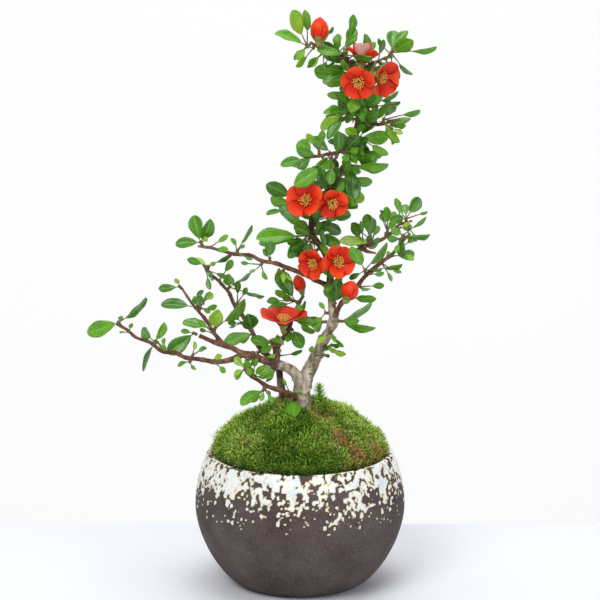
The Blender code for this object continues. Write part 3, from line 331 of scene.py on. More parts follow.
def mesh_of_rows(name, points, faces):
    """The same from one array of equal faces, which is quicker for very many."""
    mesh = bpy.data.meshes.new(name)
    count, sides = faces.shape
    mesh.vertices.add(len(points))
    mesh.vertices.foreach_set("co", points.ravel())
    mesh.loops.add(count * sides)
    mesh.loops.foreach_set("vertex_index", faces.ravel().astype(np.int32))
    mesh.polygons.add(count)
    mesh.polygons.foreach_set("loop_start", np.arange(0, count * sides, sides, dtype=np.int32))
    mesh.update(calc_edges=True)
    mesh.validate()
    return mesh


def keep_values(mesh, values):
    """Keeps numbers or rows of three for each point of a mesh, for its material to read."""
    for key, data in values.items():
        data = np.asarray(data, np.float32)
        kind, field = ("FLOAT", "value") if data.ndim == 1 else ("FLOAT_VECTOR", "vector")
        mesh.attributes.new(key, kind, "POINT").data.foreach_set(field, data.ravel())


def piece(name, points, faces, look, node=None, values=None):
    """A piece on the plant's one body, with a slot for its finish and any CAD node that it stands for."""
    points = np.asarray(points, float) * MM
    mesh = (mesh_of_rows if isinstance(faces, np.ndarray) else mesh_of)(name, points, faces)
    keep_values(mesh, values or {})
    mesh.materials.append(look)
    mesh.shade_smooth()
    thing = add_object(name, mesh)
    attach(thing, "root")
    if node:
        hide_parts(node)
    return thing


def apply_all(thing):
    """The piece's modifiers, made part of its mesh."""
    graph = bpy.context.evaluated_depsgraph_get()
    graph.update()
    mesh = bpy.data.meshes.new_from_object(thing.evaluated_get(graph))
    thing.modifiers.clear()
    thing.data = mesh


class Builder:
    """Lofts gathered into one mesh, with values for each point."""

    def __init__(self):
        self.points = []
        self.faces = []
        self.values = {}
        self.count = 0

    def loft(self, rings, **values):
        """A skin through equal rings, closed to a middle point at both ends."""
        rings = np.asarray(rings, float)
        rows, sides, _ = rings.shape
        base = self.count
        count = rows * sides
        i, j = np.meshgrid(np.arange(rows - 1), np.arange(sides), indexing="ij")
        k = (j + 1) % sides
        quads = np.stack([i * sides + j, i * sides + k, (i + 1) * sides + k, (i + 1) * sides + j], -1)
        self.faces += [tuple(quad) for quad in (quads.reshape(-1, 4) + base)]
        top = base + count - sides
        for n in range(sides):
            m = (n + 1) % sides
            self.faces.append((base + count, base + m, base + n))
            self.faces.append((base + count + 1, top + n, top + m))
        self.points += [rings.reshape(-1, 3), np.stack([rings[0].mean(0), rings[-1].mean(0)])]
        self.count += count + 2
        for key, data in values.items():
            data = np.asarray(data, float)
            data = np.full(count, float(data)) if data.ndim == 0 else data.reshape((count,) + data.shape[2:])
            ends = np.stack([data[:sides].mean(0), data[-sides:].mean(0)])
            self.values.setdefault(key, []).append(np.concatenate([data, ends]))

    def join(self, other):
        """Adds all that another builder holds."""
        self.points += other.points
        self.faces += [tuple(n + self.count for n in face) for face in other.faces]
        for key, rows in other.values.items():
            self.values.setdefault(key, []).extend(rows)
        self.count += other.count

    def make(self, name, look, slot, node=None):
        values = {key: np.concatenate(rows) for key, rows in self.values.items()}
        return piece(name, np.concatenate(self.points), self.faces, look, node, values)


def smooth_path(points, step):
    """A Catmull-Rom curve through rows of numbers, read at about every step millimetres."""
    rows = np.asarray(points, float)
    rows = np.vstack([2 * rows[0] - rows[1], rows, 2 * rows[-1] - rows[-2]])
    out = []
    for a, b, c, d in zip(rows, rows[1:], rows[2:], rows[3:]):
        count = max(2, int(np.linalg.norm((c - b)[:3]) / step))
        for t in np.arange(count) / count:
            out.append(0.5 * (2 * b + (c - a) * t + (2 * a - 5 * b + 4 * c - d) * t * t
                              + (3 * b - a - 3 * c + d) * t ** 3))
    out.append(rows[-2])
    return np.array(out)


def tube_rings(points, radii, sides):
    """Rings of a tube along the points, each turned as little as it can be from the one before."""
    points = np.asarray(points, float)
    radii = np.broadcast_to(np.asarray(radii, float), (len(points),))
    along = np.gradient(points, axis=0)
    along /= np.linalg.norm(along, axis=1)[:, None]
    across = np.array(Vector(along[0]).orthogonal().normalized())
    turns = np.arange(sides) * math.tau / sides
    rings = []
    for point, way, radius in zip(points, along, radii):
        across = across - way * across.dot(way)
        across /= np.linalg.norm(across)
        rings.append(point + radius * around(turns, across, np.cross(way, across)))
    return np.array(rings)


def around(turns, across, other):
    """Unit directions at these angles from one axis towards the other."""
    return np.cos(turns)[:, None] * across + np.sin(turns)[:, None] * other


def level(turn):
    return np.array((math.cos(turn), math.sin(turn), 0.0))


def direction(heading, lean):
    turn, tip = math.radians(heading), math.radians(lean)
    return Vector((math.cos(turn) * math.cos(tip), -math.sin(tip), math.sin(turn) * math.cos(tip)))


def branch_point(name, station):
    """A place along a branch, counted in points of its row, and the radius there."""
    points = dict(BRANCHES)[name]
    low = min(int(station), len(points) - 2)
    x, y, height, radius = (a + (b - a) * (station - low) for a, b in zip(points[low], points[low + 1]))
    return Vector((x, y, RIM + height)), radius


def mesh_points(thing):
    return [vertex.co / MM for vertex in thing.data.vertices]


def tree_of(thing):
    """A search tree of an object's faces, in millimetres."""
    return BVHTree.FromPolygons(mesh_points(thing), [tuple(face.vertices) for face in thing.data.polygons])


def nearest_rows(points, rows, girth):
    """For each point, the index of the row whose own surface lies nearest."""
    tree = KDTree(len(rows))
    for i, row in enumerate(rows):
        tree.insert(row, i)
    tree.balance()
    return np.array([min(tree.find_n(point, 10), key=lambda hit: hit[2] - girth[hit[1]])[1]
                     for point in points])


def miss(marks, place):
    """The square of the distance from a place to the nearest of the marks."""
    return np.min(np.sum((marks - np.array(place)) ** 2, axis=1))


# ---------------------------------------------------------------- materials

class Value:
    """An output of a look's nodes, which + - and * carry on from."""

    def __init__(self, look, socket):
        self.look, self.socket = look, socket

    def __add__(self, other):
        return self.look.math("ADD", self, other)

    def __sub__(self, other):
        return self.look.math("SUBTRACT", self, other)

    def __rsub__(self, other):
        return self.look.math("SUBTRACT", other, self)

    def __mul__(self, other):
        return self.look.math("MULTIPLY", self, other)


class Look:
    """A node material, built up from short calls. Its sizes are in metres."""

    def __init__(self, name):
        self.made = bpy.data.materials.new(name)
        self.made.use_nodes = True
        self.tree = self.made.node_tree
        self.shader = self.tree.nodes["Principled BSDF"]
        self.place = self.out("ShaderNodeTexCoord", {}, "Object")

    def node(self, kind, inputs, **settings):
        """A new node, with inputs fed by name or number."""
        made = self.tree.nodes.new(kind)
        for key, value in settings.items():
            setattr(made, key, value)
        for key, value in inputs.items():
            self.feed(made.inputs[key], value)
        return made

    def feed(self, socket, value):
        if isinstance(value, Value):
            self.tree.links.new(value.socket, socket)
        else:
            socket.default_value = (*value, 1.0) if socket.type == "RGBA" else value

    def out(self, kind, inputs, output=0, **settings):
        return Value(self, self.node(kind, inputs, **settings).outputs[output])

    def value(self, name):
        """A number that each point keeps."""
        return self.out("ShaderNodeAttribute", {}, "Fac", attribute_name=name)

    def parts(self, name):
        """The three numbers of a row that each point keeps."""
        row = self.out("ShaderNodeAttribute", {}, "Vector", attribute_name=name)
        return [Value(self, socket) for socket in self.node("ShaderNodeSeparateXYZ", {0: row}).outputs]

    def noise(self, scale, detail=4.0, rough=0.55, place=None):
        inputs = {"Vector": place or self.place, "Scale": scale, "Detail": detail, "Roughness": rough}
        return self.out("ShaderNodeTexNoise", inputs, "Fac")

    def cells(self, scale, feature="F1"):
        inputs = {"Vector": self.place, "Scale": scale}
        return self.out("ShaderNodeTexVoronoi", inputs, "Distance", feature=feature)

    def stretched(self, *scale):
        return self.out("ShaderNodeMapping", {"Vector": self.place, "Scale": scale})

    def math(self, kind, *values):
        return self.out("ShaderNodeMath", dict(enumerate(values)), operation=kind)

    def span(self, value, low, high, to_low=0.0, to_high=1.0):
        """What runs from low to high, made to run between two other numbers and held there."""
        inputs = dict(enumerate((value, low, high, to_low, to_high)))
        return self.out("ShaderNodeMapRange", inputs, clamp=True)

    def spread(self, noise_value, to_low=0.0, to_high=1.0):
        """The same for noise, most of which lies between 0.3 and 0.7."""
        return self.span(noise_value, 0.3, 0.7, to_low, to_high)

    def ramp(self, value, *stops):
        made = self.node("ShaderNodeValToRGB", {0: value})
        row = made.color_ramp.elements
        while len(row) < len(stops):
            row.new(0.5)
        for element, (place, colour) in zip(row, stops):
            element.position = place
            element.color = (*colour, 1.0)
        return Value(self, made.outputs[0])

    def mix(self, share, one, two):
        return self.out("ShaderNodeMix", {0: share, 6: one, 7: two}, 2, data_type="RGBA")

    def bump(self, height, distance, strength):
        self.feed(self.shader.inputs["Normal"],
                  self.out("ShaderNodeBump", {"Height": height, "Distance": distance, "Strength": strength}))

    def soften(self, weight, *radius):
        """Light passes a little way into living tissue."""
        self.shader.inputs["Subsurface Weight"].default_value = weight
        self.shader.inputs["Subsurface Radius"].default_value = radius
        self.shader.inputs["Subsurface Scale"].default_value = 0.001

    def finish(self, colour, roughness, specular=0.5):
        inputs = {"Base Color": colour, "Roughness": roughness, "Specular IOR Level": specular}
        for name, value in inputs.items():
            self.feed(self.shader.inputs[name], value)
        return self.made


def leaf_look():
    look = Look("leaf_green")
    across, along, under = look.parts("blade")
    patch = look.noise(260.0, 3.0)
    colour = look.ramp(look.value("tint") + look.spread(patch, -0.10, 0.10),
                       (0.0, (0.022, 0.105, 0.005)), (0.35, (0.062, 0.22, 0.009)),
                       (0.65, (0.12, 0.33, 0.014)), (1.0, (0.34, 0.52, 0.03)))
    off = look.math("ABSOLUTE", across)
    midrib = look.span(off, 0.03, 0.11, 1.0, 0.0)
    side_vein = look.span(look.math("PINGPONG", along * 8.0 - off * 2.2, 0.5), 0.0, 0.09, 1.0, 0.0)
    veins = look.math("MAXIMUM", midrib, side_vein * 0.45)
    colour = look.mix(veins * 0.5, colour, (0.30, 0.50, 0.09))
    colour = look.mix(look.span(off, 0.86, 1.0) * 0.35, colour, (0.16, 0.24, 0.04))
    colour = look.mix(under * 0.55, colour, (0.15, 0.30, 0.08))
    look.bump(patch * 0.25 - veins, 0.00006, 0.7)
    look.soften(0.12, 0.4, 1.0, 0.15)
    return look.finish(colour, look.spread(look.noise(500.0), 0.20, 0.34), 0.42)


def petal_look():
    look = Look("petal_red")
    across, along, _ = look.parts("blade")
    colour = look.ramp(along * 0.75 + look.value("tint") * 0.35,
                       (0.0, (0.42, 0.07, 0.012)), (0.14, (0.36, 0.005, 0.0015)),
                       (0.55, (0.66, 0.020, 0.002)), (1.0, (0.90, 0.075, 0.010)))
    fan = look.math("PINGPONG", across * 9.0 + look.noise(90.0, 2.0), 0.5)
    line = look.span(fan, 0.0, 0.2, 1.0, 0.0)
    colour = look.mix(line * 0.28, colour, (0.36, 0.006, 0.002))
    mottle = look.noise(420.0, 3.0)
    colour = look.mix(look.span(mottle, 0.45, 0.75, 0.0, 0.14), colour, (0.92, 0.16, 0.045))
    # This whitens one petal towards its tip: partly the paler tone of a petal's back, partly painted light.
    colour = look.mix(look.value("pale"), colour, (0.94, 0.66, 0.62))
    look.bump(line * -0.6 + mottle, 0.00005, 0.6)
    look.soften(0.06, 1.0, 0.2, 0.08)
    return look.finish(colour, look.spread(mottle, 0.34, 0.5), 0.2)


def green_look(name, dark, light, brown, amount):
    """Calyx, stalk and young shoot: two greens and a reddish flush by the value called tint."""
    look = Look(name)
    grain = look.noise(600.0)
    green = look.mix(look.spread(grain), dark, light)
    look.bump(grain, 0.00006, 0.6)
    look.soften(0.08, 0.5, 1.0, 0.2)
    return look.finish(look.mix(look.value("tint") * amount, green, brown), look.spread(grain, 0.42, 0.6))


def stamen_look():
    look = Look("stamen_yellow")
    grain = look.noise(1500.0, 3.0)
    thread = look.mix(look.spread(grain), (0.84, 0.50, 0.10), (0.92, 0.72, 0.26))
    pollen = look.mix(look.spread(grain), (0.72, 0.40, 0.03), (0.90, 0.62, 0.09))
    look.bump(grain, 0.00005, 0.8)
    return look.finish(look.mix(look.value("tint"), thread, pollen), look.spread(grain, 0.5, 0.75))


def bark_look():
    """Grey fissured bark where the wood is thick, red-brown where it is thin, and green at fresh tips."""
    look = Look("bark")
    grain = look.noise(240.0, 6.0, 0.65, look.stretched(1.0, 1.0, 0.28))
    fine = look.noise(1100.0, 5.0, 0.6)
    blotch = look.noise(120.0, 3.0)
    old = look.ramp(grain, (0.28, (0.075, 0.05, 0.032)), (0.42, (0.26, 0.205, 0.14)),
                    (0.58, (0.58, 0.51, 0.40)), (0.75, (0.80, 0.74, 0.62)))
    young = look.ramp(grain * 0.7 + blotch * 0.3, (0.3, (0.050, 0.018, 0.010)), (0.5, (0.13, 0.055, 0.030)),
                      (0.72, (0.34, 0.20, 0.13)))
    share = look.span(look.value("thick") + look.spread(blotch, -0.12, 0.12), 0.40, 0.74)
    colour = look.mix(share, young, old)
    lichen = look.span(look.noise(420.0, 2.0), 0.60, 0.68) * share
    colour = look.mix(lichen * 0.25, colour, (0.50, 0.52, 0.40))
    pores = look.span(look.cells(900.0), 0.0, 0.35, 1.0, 0.0)
    colour = look.mix(pores * 0.25, colour, (0.04, 0.028, 0.02))
    fleck = look.span(look.noise(620.0, 3.0, 0.6, look.stretched(0.6, 0.6, 1.6)), 0.56, 0.64)
    colour = look.mix(fleck * 0.75, colour, (0.065, 0.042, 0.028))
    colour = look.mix(look.value("fresh") * 0.7, colour, (0.16, 0.20, 0.045))
    look.bump(grain + fine * 0.35 - pores * 0.3, 0.0004, 0.9)
    return look.finish(colour, look.spread(fine, 0.62, 0.88), 0.25)


def moss_look():
    """Green by the first value, which holds painted light and shade as well as tone, dark low in a shoot by
    the second, and brown where the third says so.
    """
    look = Look("moss_green")
    tint, tip, dry = look.parts("moss")
    grain = look.noise(700.0, 3.0)
    # The first value carries painted shade at the front middle and painted light towards the sides, along
    # with real tone.
    green = look.ramp(tint + look.spread(grain, -0.12, 0.12), (0.0, (0.045, 0.13, 0.006)),
                      (0.35, (0.145, 0.32, 0.018)), (0.7, (0.32, 0.56, 0.05)), (1.0, (0.64, 0.84, 0.17)))
    green = look.mix(look.span(tip, 0.15, 0.75, 0.92, 0.0), green, (0.010, 0.026, 0.002))
    brown = look.mix(tip, (0.07, 0.030, 0.008), (0.78, 0.45, 0.16))
    look.bump(grain, 0.0002, 0.5)
    look.soften(0.05, 0.5, 1.0, 0.2)
    return look.finish(look.mix(dry, green, brown), look.spread(grain, 0.5, 0.75), 0.2)


def clay_colour(look, grain):
    """Dark unglazed stoneware, clouded, streaked and speckled."""
    clay = look.ramp(look.noise(45.0, 5.0, 0.6) * 0.4 + grain * 0.6, (0.34, (0.040, 0.027, 0.024)),
                     (0.5, (0.082, 0.060, 0.057)), (0.66, (0.135, 0.108, 0.103)))
    streak = look.noise(60.0, 4.0, 0.6, look.stretched(1.0, 1.0, 3.0))
    clay = look.mix(look.span(streak, 0.5, 0.75, 0.0, 0.35), clay, (0.13, 0.105, 0.10))
    speck = look.span(look.cells(520.0), 0.10, 0.20, 1.0, 0.0)
    return look.mix(speck * look.span(look.noise(140.0), 0.45, 0.6, 0.0, 0.8), clay, (0.24, 0.20, 0.15))


def glaze_colour(look, coat, crack):
    """Milky glaze, warm where it is thin, with fine cracks."""
    milk = look.ramp(look.noise(150.0, 4.0, 0.6), (0.3, (0.66, 0.73, 0.75)), (0.5, (0.80, 0.83, 0.81)),
                     (0.68, (0.86, 0.84, 0.72)))
    warm = look.mix(look.noise(300.0, 3.0), (0.52, 0.38, 0.13), (0.80, 0.70, 0.40))
    glaze = look.mix(look.span(coat, 0.2, 0.9, 1.0, 0.0) * 0.85, milk, warm)
    return look.mix(crack * 0.22, glaze, (0.30, 0.24, 0.17))


def pot_look():
    look = Look("drip_glazed_stoneware")
    coat = look.value("glaze")
    grain = look.noise(900.0, 6.0, 0.7)
    crack = look.span(look.cells(330.0, "DISTANCE_TO_EDGE"), 0.0, 0.035, 1.0, 0.0)
    cover = look.span(coat, 0.08, 0.24)
    colour = look.mix(cover, clay_colour(look, grain), glaze_colour(look, coat, crack))
    look.bump((1.0 - cover) * grain - crack * 0.2, 0.00025, 0.8)
    return look.finish(colour, cover * -0.50 + look.spread(grain, 0.68, 0.84), cover * 0.25 + 0.2)


def plain_look(name, dark, light, scale, roughness, depth):
    """A rough grained surface of two tones, for what lies inside the pot."""
    look = Look(name)
    grain = look.noise(scale, 6.0, 0.7)
    lumps = look.cells(scale * 0.5)
    colour = look.mix(look.span(grain * 0.6 + lumps, 0.3, 0.9), dark, light)
    look.bump(grain + lumps, depth, 0.9)
    return look.finish(colour, look.spread(grain, roughness - 0.1, roughness + 0.1))


# ---------------------------------------------------------------- pot

def pot_radius(height):
    """The pot's outer radius at heights above its base."""
    height = np.asarray(height, float)
    depth = np.clip((BELLY_HEIGHT - height) / BELLY_HEIGHT, 0.0, 1.0)
    low = BASE_RADIUS + (BELLY_RADIUS - BASE_RADIUS) * (1.0 - depth ** 1.6) ** (1.0 / 1.6)
    rise = np.clip((height - BELLY_HEIGHT) / (RIM - BELLY_HEIGHT), 0.0, 1.0)
    high = BELLY_RADIUS * np.sqrt(1.0 - (1.0 - (RIM_RADIUS / BELLY_RADIUS) ** 2) * rise ** 2)
    return np.where(height < BELLY_HEIGHT, low, high)


LIP_MIDDLE = float(pot_radius(RIM - LIP)) - LIP


def glaze_at(x, y, z, inside):
    """How much glaze lies at a point of the wall, 0 none to 1 thick: it crawled into islands and ran down."""
    turn = math.atan2(y, x)
    depth = RIM - z
    place = Vector((x, y, z * 0.62))
    runs = (4.0 * noise.noise(Vector((turn * 3.1, 3.0, 0.0)))
            + 3.0 * noise.noise(Vector((turn * 9.0, 7.0, 0.0))))
    reach = 4.0 if inside else 19.0 + runs + 2.0 * math.cos(turn + 1.7)
    islands = (0.52 * noise.noise(place * 0.14 + Vector((5.0, 1.0, 2.0))) + 0.66 * noise.noise(place * 0.42)
               + 0.42 * noise.noise(place * 0.80) + 0.08 * noise.noise(place * 1.7))
    shore = -0.25 + 0.57 * max(0.0, depth / reach) ** 1.5 + 0.16 * math.exp(-(depth / 1.6) ** 2)
    return min(1.0, max(0.0, (islands - shore) / 0.22))


def drops_at(places):
    """The same for the drops that spattered below the band, fewer and smaller further down."""
    cover = np.zeros(len(places))
    for _ in range(DROPS):
        share = rng.random() ** 1.5
        turn, depth = rng.uniform(0.0, math.tau), 7.0 + 24.0 * share
        radius = (0.55 + 1.1 * rng.random() ** 2.2) * (1.0 - 0.5 * share)
        wall = float(pot_radius(RIM - depth))
        apart = places - np.array((wall * math.cos(turn), wall * math.sin(turn), RIM - depth))
        near = np.nonzero(np.abs(apart).max(axis=1) < 2.5)[0]
        apart = apart[near] * (1.0, 1.0, rng.uniform(0.6, 1.0))
        reach = np.linalg.norm(apart, axis=1) + 0.25 * np.sin(places[near] * 2.3).sum(axis=1) * radius
        cover[near] = np.maximum(cover[near], np.clip((radius - reach) / 0.35, 0.0, 1.0))
    return cover


def pot_profile():
    """Radius and height along the wall's section, from under the base over the lip to the floor inside."""
    shoulder = RIM - 38.0
    cove = FLOOR + 3.0
    outer = np.concatenate([np.linspace(1.2, shoulder, 26), np.linspace(shoulder, RIM - LIP, 118)[1:]])
    lip = np.linspace(0.0, math.pi, 14)[1:-1]
    under = [(0.0, 0.0), (9.0, 0.0), (20.0, 0.0), (BASE_RADIUS - 1.5, 0.0), (BASE_RADIUS - 0.6, 0.25)]
    return (under + [(float(pot_radius(h)), h) for h in outer]
            + [(LIP_MIDDLE + LIP * math.cos(t), RIM - LIP + LIP * math.sin(t)) for t in lip]
            + [(float(pot_radius(h)) - WALL, h) for h in np.linspace(RIM - LIP, cove, 18)]
            + [(float(pot_radius(cove)) - WALL - 5.0, FLOOR), (20.0, FLOOR), (9.0, FLOOR), (0.0, FLOOR)])


def make_pot():
    """The turned wall with its round lip, a coat of glaze with real thickness, and holes in the floor."""
    profile = pot_profile()
    turns = [math.tau * k / POT_SIDES for k in range(POT_SIDES)]
    points = [(0.0, 0.0, 0.0)]
    for radius, height in profile[1:-1]:
        points += [(radius * math.cos(turn), radius * math.sin(turn), height) for turn in turns]
    points.append((0.0, 0.0, FLOOR))
    ring = [(i, (i + 1) % POT_SIDES) for i in range(POT_SIDES)]
    faces = [(0, 1 + j, 1 + i) for i, j in ring]
    for row in range(len(profile) - 3):
        low = 1 + row * POT_SIDES
        high = low + POT_SIDES
        faces += [(low + i, low + j, high + j, high + i) for i, j in ring]
    last = len(points) - 1
    faces += [(last - POT_SIDES + i, last - POT_SIDES + j, last) for i, j in ring]
    made = piece("glazed_pot", points, faces, pot_look(), "pot")
    for place in DRAIN_HOLES:
        drill_hole(made, place)
    coat_with_glaze(made.data)


def drill_hole(thing, place):
    drill = Builder()
    spot = np.array((*place, 0.0))
    drill.loft(tube_rings([spot - (0, 0, 5), spot + (0, 0, 10)], HOLE_RADIUS, 48))
    cutter = add_object("drill", mesh_of("drill", np.concatenate(drill.points) * MM, drill.faces))
    step = thing.modifiers.new("drain", "BOOLEAN")
    step.object = cutter
    step.operation = "DIFFERENCE"
    apply_all(thing)
    bpy.data.objects.remove(cutter)


def coat_with_glaze(mesh):
    """Moves each point of the wall to the top of its glaze, and keeps how much lies there."""
    coat = np.zeros(len(mesh.vertices))
    drops = drops_at(np.array([vertex.co for vertex in mesh.vertices]) / MM)
    for vertex in mesh.vertices:
        x, y, z = vertex.co / MM
        radius = math.hypot(x, y)
        if radius < BASE_RADIUS - 1.0 and z < FLOOR + 4.0:
            continue
        inside = radius < float(pot_radius(min(z, RIM - LIP))) - LIP
        cover = max(glaze_at(x, y, z, inside), drops[vertex.index]) if z > RIM - GLAZE_DEPTH else 0.0
        easing = min(1.0, max(0.0, z - 1.2) / 8.0)
        sunk = GLAZE_THICK * (math.sqrt(cover) - 1.0) * easing
        grain = 0.07 * easing * (noise.noise(vertex.co / MM * 0.35) - 0.6)
        outward = Vector((x, y, 0.0)) / radius * (-1.0 if inside else 1.0)
        if z > RIM - LIP:
            from_ring = Vector((x, y, 0.0)) * ((radius - LIP_MIDDLE) / radius)
            outward = (from_ring + Vector((0, 0, z - RIM + LIP))).normalized()
        vertex.co += outward * ((sunk + grain) * MM)
        coat[vertex.index] = cover
    keep_values(mesh, {"glaze": coat})
    mesh.update()


# ---------------------------------------------------------------- wood

def branch_skin(skin, name, row):
    """Adds one branch with its bends and bud joints. Gives its points, radii and how fresh each is."""
    step = 0.8
    path = smooth_path([(x, y, RIM + h, r) for x, y, h, r in row], step)
    points, radii = path[:, :3].copy(), path[:, 3].copy()
    if name == "trunk":
        points[0, 2] += 2.0
    for i, point in enumerate(points):
        shift = noise.noise_vector(Vector(point * 0.16)) * min(0.22 * radii[i], 0.35)
        if i > 2:
            points[i] += np.array(shift)
        radii[i] *= 1.0 + 0.13 * noise.noise(Vector(point * 0.33)) + 0.07 * noise.noise(Vector(point * 0.9))
    length = np.arange(len(points)) * step
    joints = np.exp(-((length % 7.5 - 3.7) / 0.9) ** 2)
    radii *= 1.0 + 0.20 * joints * (radii < 1.9)
    radii *= np.interp(radii, (1.2, 1.6, 2.4, 3.2), (1.0, 0.92, 0.90, 1.0))
    if name != "trunk":
        radii *= 1.0 + 0.45 * np.exp(-length / 2.2)
    skin.loft(tube_rings(points, radii, 16 if radii.max() > 2.2 else 12))
    return points, radii, np.clip((length - length[-1] + 6.0) / 6.0, 0.0, 1.0) * (radii < 1.0)


def make_wood():
    """Branches and knots fused into one skin, then roughened along the grain."""
    skin = Builder()
    rows = [branch_skin(skin, name, row) for name, row in BRANCHES]
    spine, girth, fresh = (np.concatenate(column) for column in zip(*rows))
    for branch, station, heading, lean, radius, proud in KNOTS:
        foot, thickness = branch_point(branch, station)
        way = direction(heading, lean)
        ends = [foot, foot + way * (thickness + 0.4 * proud), foot + way * (thickness + proud)]
        skin.loft(tube_rings(ends, (radius, radius, 0.45 * radius), 10))
    made = skin.make("wood", bark_look(), "bark", "trunk_and_branches")
    fuse = made.modifiers.new("fuse", "REMESH")
    fuse.mode = "VOXEL"
    fuse.voxel_size = VOXEL * MM
    ease = made.modifiers.new("ease", "SMOOTH")
    ease.factor = 0.5
    ease.iterations = 3
    apply_all(made)
    roughen(made.data, spine, girth, fresh)


def roughen(mesh, spine, girth, fresh):
    """Ridges and lumps on the bark, deeper on thicker wood, and the values that its material reads."""
    points, normals = np.zeros(len(mesh.vertices) * 3), np.zeros(len(mesh.vertices) * 3)
    mesh.vertices.foreach_get("co", points)
    mesh.vertices.foreach_get("normal", normals)
    points, normals = points.reshape(-1, 3) / MM, normals.reshape(-1, 3)
    nearest = nearest_rows(points, spine, girth)
    local = girth[nearest]
    push = np.array([0.055 * noise.noise(Vector((x * 1.5, y * 1.5, z * 0.45)))
                     + 0.045 * noise.noise(Vector((x * 0.55, y * 0.55, z * 0.55)) + Vector((9.0, 4.0, 1.0)))
                     for x, y, z in points])
    points += normals * (push * np.clip(local, 0.6, 4.5))[:, None]
    mesh.vertices.foreach_set("co", (points * MM).ravel())
    keep_values(mesh, {"thick": np.clip((local - 0.6) / 3.2, 0, 1), "fresh": fresh[nearest]})
    mesh.shade_smooth()
    mesh.update()


# ---------------------------------------------------------------- leaves

def blade_half(t, fullness):
    """The blade's half width as a share of its widest: from a short wedge to an oval that ends bluntly."""
    return 0.05 + 0.95 * np.clip(np.sin(math.pi * t ** fullness), 0.0, 1.0) ** 0.62


def both_faces(upper, under):
    """One ring round a sheet, over its upper face and back along its under face, which share their edges."""
    return np.vstack([upper, under[::-1][1:-1]])


def blade_values(v, t):
    """What a material reads round one ring: place across, place along, and 1 on the under face."""
    upper, under = (np.stack([v, np.full(len(v), t), np.full(len(v), face)], -1) for face in (0.0, 1.0))
    return both_faces(upper, under)


def blade_rings(middle_at, side, face, widths, thick, curl, bend=None, serrate=0.0):
    """Rings round a thin blade with these half widths along it, and the values of their points."""
    rings, values = [], []
    steps = np.linspace(0.0, 1.0, len(widths))
    v = np.linspace(-1.0, 1.0, ACROSS)
    groove = -0.10 * thick * np.exp(-(v / 0.12) ** 2)
    depth = 0.5 * thick * (1.0 - 0.75 * np.abs(v) ** 3)
    for n, (t, width) in enumerate(zip(steps, widths)):
        tooth = 1.0 - serrate * (n % 2) if 0.25 < t < 0.97 else 1.0
        reach = v * width * np.where(np.abs(v) > 0.9, tooth, 1.0)
        lift = curl * width * np.abs(v) ** 1.6
        if bend:
            lift = lift + bend(t, v)
        flat = middle_at(t) + np.outer(reach, side)
        rings.append(both_faces(*(flat + np.outer(lift + way * depth + groove, face) for way in (1.0, -1.0))))
        values.append(blade_values(v, t))
    return np.array(rings), np.array(values)


# Turns to try for a leaf, in degrees: heading, lean, roll.
TURNS = [(0, 0, 0)] + [(h, t, r) for r in (0, 35, -35) for t in (0, 15, -15, 30, -30, 50, -50)
                       for h in (0, 10, -10, 20, -20, 35, -35) if (h, t, r) != (0, 0, 0)]


def turned(row, turn):
    return (row[0] + turn[0], *row[1:4], row[4] + turn[1], row[5] + turn[2])


def leaf_axes(row):
    heading, _, _, _, lean, roll = row
    along = direction(heading, lean)
    face = (FORWARD - along * FORWARD.dot(along)).normalized()
    face = Matrix.Rotation(math.radians(roll), 3, along) @ face
    return along, face, along.cross(face)


def add_leaf(skin, stalks, hub, row, shade=None):
    """A petiole and a veined, finely toothed blade, on the line that the CAD leaf takes."""
    _, reach, length, width, _, _ = row
    along, face, side = (np.array(axis) for axis in leaf_axes(row))
    hub = np.array(hub)
    stalk = max(reach - length, 1.5)
    sway = rng.uniform(-0.5, 0.5)
    ripple = rng.uniform(0.015, 0.05)
    phase = rng.uniform(0.0, 6.0)
    cup = rng.uniform(0.10, 0.42)
    droop = rng.uniform(-0.05, 0.10)

    def middle(distance):
        share = distance / (stalk + length)
        sag = LEAF_ARCH * length * share ** 2
        extra = droop * length * max(0.0, (distance - stalk) / length) ** 2
        return hub + along * distance - face * (sag + extra) + side * (sway * math.sin(math.pi * share))

    def bend(at, v):
        return ripple * width * np.sin(at * 11.0 + phase + 1.5 * v) * np.abs(v) ** 2

    widths = 0.5 * width * blade_half(np.linspace(0.0, 1.0, ALONG), rng.uniform(1.0, 1.45))
    widths[-1] = 0.02
    rings, values = blade_rings(lambda at: middle(stalk + length * at), side, face, widths, LEAF_THICK,
                                cup, bend, 0.085)
    if shade is None:
        shade = np.clip(rng.normal(0.46, 0.19), 0.02, 0.95)
        if rng.random() < 0.10 and length < 11.0:
            shade = rng.uniform(0.62, 0.82)
    tint = np.full(rings.shape[:2], shade)
    if length < 7.5:
        tint += 0.10
    skin.loft(rings, blade=values, tint=tint)
    spots = np.array([middle(stalk * s) for s in np.linspace(0.0, 1.02, 7)])
    stalks.loft(tube_rings(spots, np.linspace(0.42, 0.27, 7), 8), tint=rng.uniform(0.2, 0.9))


def add_spur(stalks, start, hub, way):
    """The short woody spur that leaves grow from."""
    start, hub, way = (np.array(value) for value in (start, hub, way))
    path = smooth_path([start - way * 0.9, start, hub, hub + way * 0.9], 0.5)
    stalks.loft(tube_rings(path, np.full(len(path), 0.85), 10), tint=0.95)


def matching_row(hub, row, tips):
    """The leaf, turned so that its tip is a point of the CAD node."""
    best, found = 1e9, row
    total = max(row[1] - row[2], 1.5) + row[2]
    for turn in TURNS:
        tried = turned(row, turn)
        along, face, _ = leaf_axes(tried)
        off = miss(tips, hub + along * total - face * LEAF_ARCH * row[2])
        if off < best:
            best, found = off, tried
        if best < 1e-3:
            break
    return found


